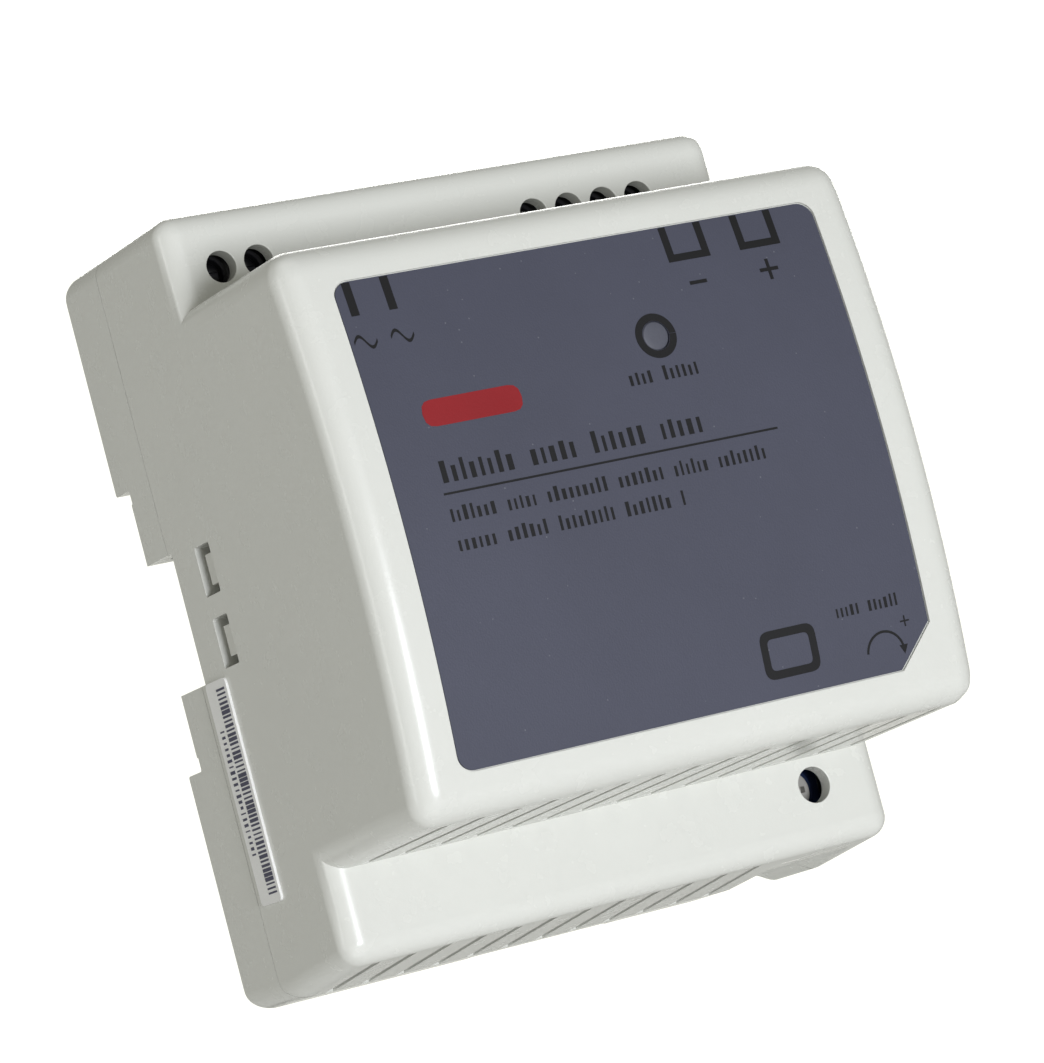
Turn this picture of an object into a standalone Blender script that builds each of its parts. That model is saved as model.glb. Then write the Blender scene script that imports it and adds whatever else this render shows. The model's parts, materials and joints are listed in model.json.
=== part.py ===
"""DIN rail power supply: a plastic cover and base that hook onto a 35 mm rail, round a board of
electronics with screw terminals along its top edge.

Frame: +Z up, +X right, -Y to the front. The origin is on the face that lies against the rail,
on the rail's centre line. Sizes are in millimetres and become metres as each mesh is made.
"""

import math

import bmesh
import bpy
from mathutils import Vector

for old in list(bpy.data.objects):
    bpy.data.objects.remove(old, do_unlink=True)

MM = 0.001
GAP = 0.3  # between pieces that touch
RUN = 0.3  # between pieces that move past each other
SINK = 0.02  # how far a joined shape stops short of the face it would share

# ---------------------------------------------------------------- overall sizes
BODY_WIDTH = 78.0
BODY_HEIGHT = 93.0
RAIL_CENTRE_RISE = 1.0  # the rail's centre line above the body's mid height
BLOCK_REACH = 52.0  # rail face to the front block's top and bottom front edges
CROWN = 3.0  # how far the front bulges past those edges
SHELF_REACH = 26.0  # rail face to the shelves above and below the front block
PARTING_REACH = 6.0  # rail face to the joint between cover and base
HOOK_DEPTH = 3.6  # rail face to the rearmost face
TOP_SHELF = 11.3
BOTTOM_SHELF = 13.0
WALL = 2.0
EDGE_ROUND = 2.6
CROWN_FACETS = 10

# ---------------------------------------------------------------- the rail
RAIL_HEIGHT = 35.0
RAIL_THICKNESS = 1.0
RAIL_CLEARANCE = 0.2  # above and below the rail
HOOK_OVERLAP = 1.3  # how far a hook reaches over the rail's edge
HOOK_WIDTH = 12.0
HOOK_INSET = 20.0  # hook centres either side of the middle
RELIEF = 0.3  # shallow step under the hooks, clear of the rail's bent edge
BASE_WALL = 2.5

# ---------------------------------------------------------------- cover openings
VENT_COUNT = 15
VENT_PITCH = 4.9
VENT_WIDTH = 1.1
POLE_PITCH = 5.08
INPUT_POLES = 2
OUTPUT_POLES = 4
INPUT_MARGIN = 1.1  # board edge to the input terminal
OUTPUT_MARGIN = 6.4  # board edge to the output terminal, with room for a board screw
SCREW_LINE_DROP = 7.2  # screw centres below the body's top
SCREW_ACCESS = 4.4  # diameter
TRIM_INSET = 10.1  # trimmer centre inside the body's right side
TRIM_RISE = 9.5  # trimmer centre above the body's bottom
TRIM_ACCESS = 4.8  # diameter
LED_X = 6.3
LED_DROP = 18.1  # lamp centre below the front block's top
LED_ACCESS = 4.2  # diameter
SNAP_WINDOW_DEPTH = 4.1
SNAP_WINDOW_HEIGHT = 6.1
SNAP_WINDOW_REACH = 17.8  # rail face to the window's front edge
SNAP_CENTRES = (4.4, -4.4)  # up from the rail's centre line
SIDE_NOTCH_HALF = 8.2
SIDE_NOTCH_DEPTH = 4.0

# ---------------------------------------------------------------- label and sticker
LABEL_SIDE_MARGIN = 6.0
LABEL_TOP_MARGIN = 5.2
LABEL_BOTTOM_MARGIN = 6.0
LABEL_CORNER = 2.0
LABEL_CHAMFER = 5.0  # at the lower right corner
LABEL_THICKNESS = 0.25
LABEL_RECESS = 0.6
STICKER_WIDTH = 5.6
STICKER_HEIGHT = 27.4
STICKER_DROP = 8.3  # top edge below the rail's centre line
STICKER_REACH = 7.8  # rail face to its rear edge
STICKER_THICKNESS = 0.15

# ---------------------------------------------------------------- sliding rail clip
CLIP_WIDTH = 20.0
CLIP_LAND = 16.8  # width of the part that shows between the guide lips
CLIP_TRAVEL = 4.0
CHANNEL_FLOOR = 2.4  # rail face to the channel's floor
LIP_THICKNESS = 1.0
CLIP_FLUSH = 0.2  # the clip sits this far inside the rear face
SPRING_WIRE = 0.6
SPRING_MEAN_RADIUS = 2.1
SPRING_TURNS = 7
POCKET_HALF = 3.0
POCKET_TOP = 6.4  # below the clip's upper end
SPRING_LENGTH = 12.4
POST_HEIGHT = 2.2

# ---------------------------------------------------------------- board
BOARD_THICKNESS = 1.6
BOARD_REACH = 7.9  # rail face to the board's rear
BOARD_MARGIN = 1.0  # inside the cover's inner walls
BOSS_RADIUS = 3.0
BOARD_SCREW_RADIUS = 1.3
BOARD_SCREW_HEAD = 2.7
BOARD_SCREW_LENGTH = 7.0
SHEET_THICKNESS = 0.4
SHEET_STANDOFF = 2.3  # insulation sheet behind the board

# ---------------------------------------------------------------- screw terminals
TERMINAL_HEIGHT = 12.4
TERMINAL_DEPTH = 8.6
TERMINAL_END = 0.25  # housing past its last pole
CAVITY_WIDTH = 4.2
CAVITY_TOP = 3.5  # below the housing's front
CAVITY_FLOOR = 1.8
CAGE_WIDTH = 3.6
CAGE_HEIGHT = 5.0
CAGE_WALL = 0.9
CAGE_SIDE = 0.4
CAGE_DEPTH = 4.2
CAGE_TRAVEL = 1.6
HEAD_RADIUS = 1.8
HEAD_HEIGHT = 1.8
SHANK_RADIUS = 1.05
SLOT_WIDTH = 0.6
SLOT_DEPTH = 0.8

# ---------------------------------------------------------------- values that follow
LEFT, RIGHT = -BODY_WIDTH / 2, BODY_WIDTH / 2
TOP = BODY_HEIGHT / 2 - RAIL_CENTRE_RISE
BOTTOM = -BODY_HEIGHT / 2 - RAIL_CENTRE_RISE
BLOCK_TOP = TOP - TOP_SHELF
BLOCK_BOTTOM = BOTTOM + BOTTOM_SHELF
SEAT_HALF = RAIL_HEIGHT / 2 + RAIL_CLEARANCE
COVER_REAR = -PARTING_REACH - GAP
BASE_FRONT = -PARTING_REACH
BOARD_REAR = -BOARD_REACH
BOARD_FACE = BOARD_REAR - BOARD_THICKNESS
ON_BOARD = BOARD_FACE - GAP
BOARD_LOW = (LEFT + WALL + BOARD_MARGIN, BOTTOM + WALL + BOARD_MARGIN)
BOARD_HIGH = (RIGHT - WALL - BOARD_MARGIN, TOP - WALL - BOARD_MARGIN)
SCREW_LINE = TOP - SCREW_LINE_DROP
TRIM_X = RIGHT - TRIM_INSET
TRIM_Z = BOTTOM + TRIM_RISE
LED_Z = BLOCK_TOP - LED_DROP
VENT_XS = [(i - (VENT_COUNT - 1) / 2) * VENT_PITCH for i in range(VENT_COUNT)]
CLIP_REAR = HOOK_DEPTH - CLIP_FLUSH
CLIP_TOP = -SEAT_HALF - GAP
CLIP_BOTTOM = BOTTOM + GAP
INPUT_START = BOARD_LOW[0] + INPUT_MARGIN + TERMINAL_END
OUTPUT_START = BOARD_HIGH[0] - OUTPUT_MARGIN - TERMINAL_END - OUTPUT_POLES * POLE_PITCH
INPUT_XS = [INPUT_START + (i + 0.5) * POLE_PITCH for i in range(INPUT_POLES)]
OUTPUT_XS = [OUTPUT_START + (i + 0.5) * POLE_PITCH for i in range(OUTPUT_POLES)]


# ---------------------------------------------------------------- making meshes
def paint(name, color, roughness, metallic=0.0):
    """A material of one colour."""
    made = bpy.data.materials.new(name)
    made.use_nodes = True
    shader = made.node_tree.nodes["Principled BSDF"]
    shader.inputs["Base Color"].default_value = (*color, 1.0)
    shader.inputs["Roughness"].default_value = roughness
    shader.inputs["Metallic"].default_value = metallic
    return made


def block(low, high):
    """A box between two corners."""
    bm = bmesh.new()
    bmesh.ops.create_cube(bm, size=1.0)
    size = Vector(high) - Vector(low)
    middle = (Vector(high) + Vector(low)) / 2
    bmesh.ops.scale(bm, vec=size, verts=bm.verts)
    bmesh.ops.translate(bm, vec=middle, verts=bm.verts)
    return bm


AXES = {"X": (1, 2), "Y": (0, 2), "Z": (0, 1)}


def prism(outline, axis, low, high):
    """A flat outline, given in the two other axes, extruded along an axis."""
    bm = bmesh.new()
    first, second = AXES[axis]
    along = "XYZ".index(axis)
    corners = []
    for point in outline:
        place = [0.0, 0.0, 0.0]
        place[first], place[second], place[along] = point[0], point[1], low
        corners.append(bm.verts.new(place))
    face = bm.faces.new(corners)
    grown = bmesh.ops.extrude_face_region(bm, geom=[face])
    moved = [item for item in grown["geom"] if isinstance(item, bmesh.types.BMVert)]
    shift = [0.0, 0.0, 0.0]
    shift[along] = high - low
    bmesh.ops.translate(bm, vec=shift, verts=moved)
    bmesh.ops.recalc_face_normals(bm, faces=bm.faces)
    return bm


def at_both_sides(inner, outer, low, high):
    """A box on each side of the middle, between two distances from it; low and high give y and z."""
    return [block((inner, *low), (outer, *high)), block((-outer, *low), (-inner, *high))]


def rod(centre, axis, radius, low, high, sides=16):
    """A cylinder along an axis; centre gives its other two coordinates."""
    turn = 2 * math.pi / sides
    outline = [
        (centre[0] + radius * math.cos((i + 0.5) * turn), centre[1] + radius * math.sin((i + 0.5) * turn))
        for i in range(sides)
    ]
    return prism(outline, axis, low, high)


def turned(centre, profile, sides=20):
    """A solid turned about a line along Y. The profile is (radius, y) from its front end to its rear."""
    bm = bmesh.new()
    rings = []
    for radius, y in profile:
        ring = []
        for i in range(sides):
            angle = 2 * math.pi * (i + 0.5) / sides
            ring.append(
                bm.verts.new((centre[0] + radius * math.cos(angle), y, centre[1] + radius * math.sin(angle)))
            )
        rings.append(ring)
    for near, far in zip(rings, rings[1:]):
        for i in range(sides):
            j = (i + 1) % sides
            bm.faces.new((near[i], near[j], far[j], far[i]))
    bm.faces.new(rings[0])
    bm.faces.new(rings[-1])
    bmesh.ops.recalc_face_normals(bm, faces=bm.faces)
    return bm


def together(*pieces):
    """Separate closed shapes as one mesh."""
    whole = bmesh.new()
    for piece in pieces:
        copy = bpy.data.meshes.new("copy")
        piece.to_mesh(copy)
        whole.from_mesh(copy)
        bpy.data.meshes.remove(copy)
        piece.free()
    return whole


def rounded(bm, radius, steps, chosen):
    """Rounds the edges for which chosen(edge) holds."""
    edges = [edge for edge in bm.edges if chosen(edge)]
    bmesh.ops.bevel(
        bm, geom=edges, offset=radius, segments=steps, profile=0.5, affect="EDGES", clamp_overlap=True
    )
    return bm


def sharp(edge):
    return len(edge.link_faces) == 2 and edge.calc_face_angle(0.0) > math.radians(40)


def place(name, bm, finish, origin=(0.0, 0.0, 0.0), smooth=30.0):
    """Makes a mesh object, with its origin where asked."""
    bmesh.ops.translate(bm, vec=-Vector(origin), verts=bm.verts)
    bmesh.ops.scale(bm, vec=(MM, MM, MM), verts=bm.verts)
    mesh = bpy.data.meshes.new(name)
    bm.to_mesh(mesh)
    bm.free()
    mesh.shade_smooth()
    mesh.set_sharp_from_angle(angle=math.radians(smooth))
    piece = bpy.data.objects.new(name, mesh)
    piece.location = Vector(origin) * MM
    if finish:
        mesh.materials.append(finish)
    bpy.context.scene.collection.objects.link(piece)
    return piece


def boolean(piece, how, name, bm):
    """Joins a shape to a piece, or cuts it away; the shape stays as a hidden helper."""
    helper = place(name, bm, None)
    helper.hide_render = True
    helper.display_type = "WIRE"
    modifier = piece.modifiers.new(name, "BOOLEAN")
    modifier.operation = how
    modifier.solver = "EXACT"
    modifier.object = helper
    return helper


# ---------------------------------------------------------------- the case's side outline
BLOCK_MIDDLE = (BLOCK_TOP + BLOCK_BOTTOM) / 2
BLOCK_HALF = (BLOCK_TOP - BLOCK_BOTTOM) / 2
CROWN_STOPS = [BLOCK_BOTTOM + 2 * BLOCK_HALF * i / CROWN_FACETS for i in range(CROWN_FACETS + 1)]


def bulge(z):
    """The front face's place at a height, on its curve."""
    share = (z - BLOCK_MIDDLE) / BLOCK_HALF
    return -(BLOCK_REACH + CROWN * (1 - share * share))


def front_y(z):
    """The front face's place at a height, on the flats between the curve's points."""
    below = max([s for s in CROWN_STOPS[:-1] if s <= z], default=CROWN_STOPS[0])
    above = CROWN_STOPS[CROWN_STOPS.index(below) + 1]
    share = (z - below) / (above - below)
    return bulge(below) * (1 - share) + bulge(above) * share


def crowned(low, high, depth_near, depth_far):
    """(y, z) outline of a slice that follows the front face between two depths behind it."""
    heights = [low] + [s for s in CROWN_STOPS if low < s < high] + [high]
    near = [(front_y(z) + depth_near, z) for z in heights]
    far = [(front_y(z) + depth_far, z) for z in reversed(heights)]
    return near + far


def case_outline(inset, rear):
    """(y, z) outline of the cover, drawn in by a wall's thickness."""
    low, high = BLOCK_BOTTOM + inset, BLOCK_TOP - inset
    front = [(front_y(z) + inset, z) for z in [low] + [s for s in CROWN_STOPS if low < s < high] + [high]]
    shelf = -SHELF_REACH + inset
    return (
        [(rear, BOTTOM + inset), (shelf, BOTTOM + inset), (shelf, BLOCK_BOTTOM + inset)]
        + front
        + [(shelf, BLOCK_TOP - inset), (shelf, TOP - inset), (rear, TOP - inset)]
    )


# ---------------------------------------------------------------- front cover
def cover_edge(edge):
    ends = [v.co for v in edge.verts]
    at_rear = all(abs(p.y - COVER_REAR) < 1e-6 for p in ends)
    if not sharp(edge) or at_rear:
        return False
    middle = (ends[0] + ends[1]) / 2
    inner_corner = abs(middle.y + SHELF_REACH) < 1e-6 and abs(middle.x) < RIGHT - 1e-6
    return not (inner_corner and BLOCK_BOTTOM - 1e-6 < middle.z < BLOCK_TOP + 1e-6)


shell = rounded(prism(case_outline(0.0, COVER_REAR), "X", LEFT, RIGHT), EDGE_ROUND, 3, cover_edge)
front_cover = place("front_cover", shell, paint("cover plastic", (0.80, 0.80, 0.77), 0.45))
boolean(
    front_cover,
    "DIFFERENCE",
    "cover_inside",
    prism(case_outline(WALL, COVER_REAR + 5.0), "X", LEFT + WALL, RIGHT - WALL),
)


def vents():
    """Thin slots through the top and bottom of the block and of the shelves."""
    slots = []
    for x in VENT_XS:
        low, high = x - VENT_WIDTH / 2, x + VENT_WIDTH / 2
        for inner, outer in ((BLOCK_BOTTOM + WALL, BLOCK_BOTTOM), (BLOCK_TOP - WALL, BLOCK_TOP)):
            reach = (outer - inner) * 0.5
            ends = sorted((inner - reach, outer + reach))
            slots.append(block((low, -BLOCK_REACH + 2.0, ends[0]), (high, -SHELF_REACH - 2.0, ends[1])))
        slots.append(
            block((low, -SHELF_REACH - 1.0, BOTTOM - 1.0), (high, COVER_REAR - 3.0, BOTTOM + WALL + 0.3))
        )
    return slots


def snap_windows():
    cuts = []
    front = -SNAP_WINDOW_REACH
    for side in (LEFT, RIGHT):
        for z in SNAP_CENTRES:
            cuts.append(
                block(
                    (side - WALL - 1, front, z - SNAP_WINDOW_HEIGHT / 2),
                    (side + WALL + 1, front + SNAP_WINDOW_DEPTH, z + SNAP_WINDOW_HEIGHT / 2),
                )
            )
    return cuts


def terminal_span(xs):
    """The left and right ends of a terminal block's housing."""
    return xs[0] - POLE_PITCH / 2 - TERMINAL_END, xs[-1] + POLE_PITCH / 2 + TERMINAL_END


TERMINAL_FRONT = ON_BOARD - TERMINAL_HEIGHT
TERMINAL_TOP = SCREW_LINE + TERMINAL_DEPTH / 2 + 0.4
TERMINAL_LOW = TERMINAL_TOP - TERMINAL_DEPTH


def access_holes():
    """Round holes in the shelves for a screwdriver, and the slots that wires go in by."""
    cuts = [
        rod((x, SCREW_LINE), "Y", SCREW_ACCESS / 2, -SHELF_REACH - 2, -SHELF_REACH + WALL + 1)
        for x in INPUT_XS + OUTPUT_XS
    ]
    cuts.append(rod((TRIM_X, TRIM_Z), "Y", TRIM_ACCESS / 2, -SHELF_REACH - 2, -SHELF_REACH + WALL + 1))
    lamp = front_y(LED_Z)
    cuts.append(rod((LED_X, LED_Z), "Y", LED_ACCESS / 2, lamp - 2, lamp + WALL + 2))
    for xs in (INPUT_XS, OUTPUT_XS):
        ends = terminal_span(xs)
        cuts.append(
            block(
                (ends[0] + 0.3, TERMINAL_FRONT + CAVITY_TOP, TOP - WALL - 1),
                (ends[1] - 0.3, ON_BOARD - CAVITY_FLOOR, TOP + 1),
            )
        )
    return cuts


boolean(front_cover, "DIFFERENCE", "cover_openings", together(*vents(), *snap_windows(), *access_holes()))
boolean(
    front_cover,
    "DIFFERENCE",
    "cover_side_notches",
    together(
        *[
            block(
                (side - WALL - 1, COVER_REAR - 1.1, -SIDE_NOTCH_HALF),
                (side + WALL + 1, COVER_REAR + 1, SIDE_NOTCH_HALF),
            )
            for side in (LEFT, RIGHT)
        ]
    ),
)

# ---------------------------------------------------------------- label in its shallow recess
LABEL_LOW, LABEL_HIGH = BLOCK_BOTTOM + LABEL_BOTTOM_MARGIN, BLOCK_TOP - LABEL_TOP_MARGIN
LABEL_HALF = BODY_WIDTH / 2 - LABEL_SIDE_MARGIN


def label_outline(grow):
    """(x, z) outline with rounded corners and one cut off at the lower right."""
    left, right = -LABEL_HALF - grow, LABEL_HALF + grow
    low, high = LABEL_LOW - grow, LABEL_HIGH + grow
    points = [(right - LABEL_CHAMFER, low), (right, low + LABEL_CHAMFER)]
    for x, z, start in ((right, high, 0), (left, high, 90), (left, low, 180)):
        cx = x - math.copysign(LABEL_CORNER, x)
        cz = z - LABEL_CORNER if z == high else z + LABEL_CORNER
        for step in range(4):
            angle = math.radians(start + step * 30)
            points.append((cx + LABEL_CORNER * math.cos(angle), cz + LABEL_CORNER * math.sin(angle)))
    return points


recess = boolean(
    front_cover,
    "DIFFERENCE",
    "label_recess",
    prism(crowned(LABEL_LOW - 1, LABEL_HIGH + 1, -4.0, LABEL_RECESS), "X", -LABEL_HALF - 1, LABEL_HALF + 1),
)
boolean(
    recess,
    "INTERSECT",
    "label_recess_outline",
    prism(label_outline(GAP), "Y", -BLOCK_REACH - CROWN - 8, -BLOCK_REACH + 8),
)
front_label = place(
    "front_label",
    prism(
        crowned(LABEL_LOW - 1, LABEL_HIGH + 1, LABEL_RECESS - GAP - LABEL_THICKNESS, LABEL_RECESS - GAP),
        "X",
        -LABEL_HALF - 1,
        LABEL_HALF + 1,
    ),
    paint("label film", (0.10, 0.11, 0.14), 0.5),
)
boolean(
    front_label,
    "INTERSECT",
    "label_cut_to_size",
    prism(label_outline(0.0), "Y", -BLOCK_REACH - CROWN - 6, -BLOCK_REACH + 6),
)
boolean(
    front_label,
    "DIFFERENCE",
    "label_lamp_hole",
    rod((LED_X, LED_Z), "Y", LED_ACCESS / 2, front_y(LED_Z) - 4, front_y(LED_Z) + 4),
)

place(
    "side_sticker",
    block(
        (LEFT - GAP - STICKER_THICKNESS, -STICKER_REACH - STICKER_WIDTH, -STICKER_DROP - STICKER_HEIGHT),
        (LEFT - GAP, -STICKER_REACH, -STICKER_DROP),
    ),
    paint("sticker paper", (0.86, 0.86, 0.84), 0.55),
)

# ---------------------------------------------------------------- rear base
CHANNEL_HALF = CLIP_WIDTH / 2 + RUN
CHANNEL_SIDE = 2.0
INNER_STEP = SEAT_HALF + BASE_WALL
base_outer = [
    (BASE_FRONT, BOTTOM),
    (HOOK_DEPTH, BOTTOM),
    (HOOK_DEPTH, -SEAT_HALF),
    (-RELIEF, -SEAT_HALF),
    (-RELIEF, -SEAT_HALF + HOOK_OVERLAP + 0.4),
    (0.0, -SEAT_HALF + HOOK_OVERLAP + 0.4),
    (0.0, SEAT_HALF - HOOK_OVERLAP - 0.4),
    (-RELIEF, SEAT_HALF - HOOK_OVERLAP - 0.4),
    (-RELIEF, SEAT_HALF),
    (HOOK_DEPTH, SEAT_HALF),
    (HOOK_DEPTH, TOP),
    (BASE_FRONT, TOP),
]
base_inner = [
    (BASE_FRONT - 1, BOTTOM + WALL),
    (HOOK_DEPTH - BASE_WALL, BOTTOM + WALL),
    (HOOK_DEPTH - BASE_WALL, -INNER_STEP),
    (-BASE_WALL, -INNER_STEP),
    (-BASE_WALL, INNER_STEP),
    (HOOK_DEPTH - BASE_WALL, INNER_STEP),
    (HOOK_DEPTH - BASE_WALL, TOP - WALL),
    (BASE_FRONT - 1, TOP - WALL),
]


def base_edge(edge):
    """The four long corners of the base, which carry on the cover's rounded corners."""
    a, b = (v.co for v in edge.verts)
    along = abs(a.y - b.y) > 1.0 and abs(a.x - b.x) < 1e-6 and abs(a.z - b.z) < 1e-6
    return along and abs(abs(a.x) - RIGHT) < 1e-6 and (abs(a.z - TOP) < 1e-6 or abs(a.z - BOTTOM) < 1e-6)


rear_base = place(
    "rear_base",
    rounded(prism(base_outer, "X", LEFT, RIGHT), EDGE_ROUND, 3, base_edge),
    paint("base plastic", (0.78, 0.78, 0.75), 0.45),
)
boolean(rear_base, "DIFFERENCE", "base_inside", prism(base_inner, "X", LEFT + WALL, RIGHT - WALL))

HOOK_LOW = SEAT_HALF - HOOK_OVERLAP
HOOK_NEAR = RAIL_THICKNESS + RUN
BOSSES = (
    (terminal_span(INPUT_XS)[1] + GAP + BOARD_SCREW_HEAD, BOARD_HIGH[1] - 4.4),
    (terminal_span(OUTPUT_XS)[1] + GAP + BOARD_SCREW_HEAD, BOARD_HIGH[1] - 4.4),
    (BOARD_LOW[0] + 4.4, BOARD_LOW[1] + 4.4),
    (TRIM_X - 10.0, BOARD_LOW[1] + 4.4),
)
ARM_OUT = RIGHT - SIDE_NOTCH_DEPTH - 0.2
ARM_THICKNESS = 2.0
ARM_HALF = SNAP_WINDOW_HEIGHT / 2 - 0.5
NIB_FRONT = -SNAP_WINDOW_REACH + RUN
NIB_DEPTH = SNAP_WINDOW_DEPTH - 1.5
NIB_OUT = RIGHT - 0.6


def hooks():
    """Two fixed hooks that hang over the rail's upper edge."""
    return [
        block(
            (x - HOOK_WIDTH / 2, HOOK_NEAR, HOOK_LOW),
            (x + HOOK_WIDTH / 2, HOOK_DEPTH - SINK, SEAT_HALF + 1.0),
        )
        for x in (-HOOK_INSET, HOOK_INSET)
    ]


def snap_arms():
    """Springy arms that hold the cover, each with a nib that sits in one of its windows."""
    arms = []
    for side in (-1, 1):
        for z in SNAP_CENTRES:
            inner, outer = sorted((side * ARM_OUT, side * (ARM_OUT - ARM_THICKNESS)))
            outline = [
                (side * (ARM_OUT - ARM_THICKNESS), -1.0),
                (side * ARM_OUT, -1.0),
                (side * ARM_OUT, NIB_FRONT + NIB_DEPTH),
                (side * NIB_OUT, NIB_FRONT + NIB_DEPTH),
                (side * NIB_OUT, NIB_FRONT + 0.8),
                (side * (NIB_OUT - 1.0), NIB_FRONT),
                (side * (ARM_OUT - ARM_THICKNESS), NIB_FRONT),
            ]
            arms.append(prism(outline, "Z", z - ARM_HALF, z + ARM_HALF))
    return arms


def bosses():
    return [
        rod(at, "Y", BOSS_RADIUS, BOARD_REAR + GAP, HOOK_DEPTH - BASE_WALL + 0.8, 12) for at in BOSSES
    ]


boolean(
    rear_base,
    "DIFFERENCE",
    "base_side_notches",
    together(
        *at_both_sides(
            RIGHT - SIDE_NOTCH_DEPTH,
            RIGHT + 1,
            (BASE_FRONT - 1, -SIDE_NOTCH_HALF),
            (HOOK_DEPTH + 1, SIDE_NOTCH_HALF),
        )
    ),
)
CHANNEL_OUT = CHANNEL_HALF + CHANNEL_SIDE
boolean(
    rear_base,
    "UNION",
    "clip_channel_body",
    together(
        block(
            (-CHANNEL_OUT, -CHANNEL_FLOOR - CHANNEL_SIDE, BOTTOM + SINK),
            (CHANNEL_OUT, HOOK_DEPTH - SINK, -SEAT_HALF - SINK),
        ),
        *hooks(),
        *snap_arms(),
        *bosses(),
    ),
)
boolean(
    rear_base,
    "DIFFERENCE",
    "clip_channel",
    together(
        block((-CHANNEL_HALF, -CHANNEL_FLOOR, BOTTOM - 1), (CHANNEL_HALF, HOOK_DEPTH + 1, -SEAT_HALF + 0.3)),
        *[
            rod(at, "Y", BOARD_SCREW_RADIUS + GAP, BOARD_REAR - 1, BOARD_REAR + BOARD_SCREW_LENGTH, 12)
            for at in BOSSES
        ],
    ),
)
LIP_TOP, LIP_BOTTOM = -SEAT_HALF - 1.5, BOTTOM + 3.5
POST_TOP = CLIP_TOP - POCKET_TOP - GAP - SPRING_LENGTH - GAP
SPRING_Y = -CHANNEL_FLOOR + RUN + SPRING_MEAN_RADIUS + SPRING_WIRE / 2
boolean(
    rear_base,
    "UNION",
    "clip_guides",
    together(
        *at_both_sides(
            CLIP_LAND / 2 + RUN,
            CHANNEL_HALF + 1,
            (HOOK_DEPTH - LIP_THICKNESS, LIP_BOTTOM),
            (HOOK_DEPTH - SINK, LIP_TOP),
        ),
        block(
            (-POCKET_HALF + 0.4, -CHANNEL_FLOOR - 1, POST_TOP - POST_HEIGHT),
            (POCKET_HALF - 0.4, SPRING_Y + 1.6, POST_TOP),
        ),
    ),
)

# ---------------------------------------------------------------- rail clip and its spring
FLANGE_REAR = HOOK_DEPTH - LIP_THICKNESS - RUN
clip_flange = block(
    (-CLIP_WIDTH / 2, -CHANNEL_FLOOR + RUN, CLIP_BOTTOM), (CLIP_WIDTH / 2, FLANGE_REAR, CLIP_TOP)
)
rail_clip = place(
    "rail_clip", clip_flange, paint("clip plastic", (0.74, 0.74, 0.71), 0.45), (0.0, 0.0, CLIP_TOP)
)
boolean(
    rail_clip,
    "UNION",
    "clip_land",
    prism(
        [
            (0.0, CLIP_BOTTOM + SINK),
            (CLIP_REAR, CLIP_BOTTOM + SINK),
            (CLIP_REAR, CLIP_TOP + HOOK_OVERLAP + RAIL_CLEARANCE + 0.1),
            (HOOK_NEAR + 0.05, CLIP_TOP + HOOK_OVERLAP + RAIL_CLEARANCE + GAP - 0.3),
            (HOOK_NEAR + 0.05, CLIP_TOP - SINK),
            (0.0, CLIP_TOP - SINK),
        ],
        "X",
        -CLIP_LAND / 2,
        CLIP_LAND / 2,
    ),
)
POCKET_LOW = POST_TOP - POST_HEIGHT - RUN * 2
boolean(
    rail_clip,
    "DIFFERENCE",
    "clip_pockets",
    together(
        block(
            (-POCKET_HALF, -CHANNEL_FLOOR - 1, POCKET_LOW),
            (POCKET_HALF, HOOK_DEPTH + 1, CLIP_TOP - POCKET_TOP),
        ),
        block((-3.2, 0.6, CLIP_BOTTOM + 1.6), (3.2, HOOK_DEPTH + 1, CLIP_BOTTOM + 3.4)),
    ),
)


def coil(centre, low, high, mean, wire, turns, around=10, sides=6):
    """A wire wound about an upright line, closed at both ends."""
    bm = bmesh.new()
    rings = []
    count = turns * around
    rise = high - low - wire
    for i in range(count + 1):
        angle = 2 * math.pi * i / around
        middle = Vector((mean * math.cos(angle), mean * math.sin(angle), wire / 2 + rise * i / count))
        outward = Vector((math.cos(angle), math.sin(angle), 0))
        ring = []
        for k in range(sides):
            tilt = 2 * math.pi * k / sides
            spot = middle + outward * (wire / 2 * math.cos(tilt)) + Vector((0, 0, wire / 2 * math.sin(tilt)))
            ring.append(bm.verts.new(spot + Vector((centre[0], centre[1], low))))
        rings.append(ring)
    for near, far in zip(rings, rings[1:]):
        for k in range(sides):
            m = (k + 1) % sides
            bm.faces.new((near[k], near[m], far[m], far[k]))
    bm.faces.new(rings[0])
    bm.faces.new(rings[-1])
    bmesh.ops.recalc_face_normals(bm, faces=bm.faces)
    return bm


place(
    "clip_spring",
    coil(
        (0.0, SPRING_Y),
        POST_TOP + GAP,
        POST_TOP + GAP + SPRING_LENGTH,
        SPRING_MEAN_RADIUS,
        SPRING_WIRE,
        SPRING_TURNS,
    ),
    paint("spring steel", (0.55, 0.55, 0.56), 0.3, 1.0),
)

# ---------------------------------------------------------------- board, its screws and sheet
ARM_CLEAR = ARM_OUT - ARM_THICKNESS - GAP - 0.1
main_board = place(
    "main_board",
    block((BOARD_LOW[0], BOARD_FACE, BOARD_LOW[1]), (BOARD_HIGH[0], BOARD_REAR, BOARD_HIGH[1])),
    paint("board laminate", (0.05, 0.20, 0.09), 0.5),
)


def arm_slots(low, high, half):
    """Room for the snap arms at both side edges of a flat piece."""
    return at_both_sides(ARM_CLEAR, RIGHT + 2, (low, -half), (high, half))


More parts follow.
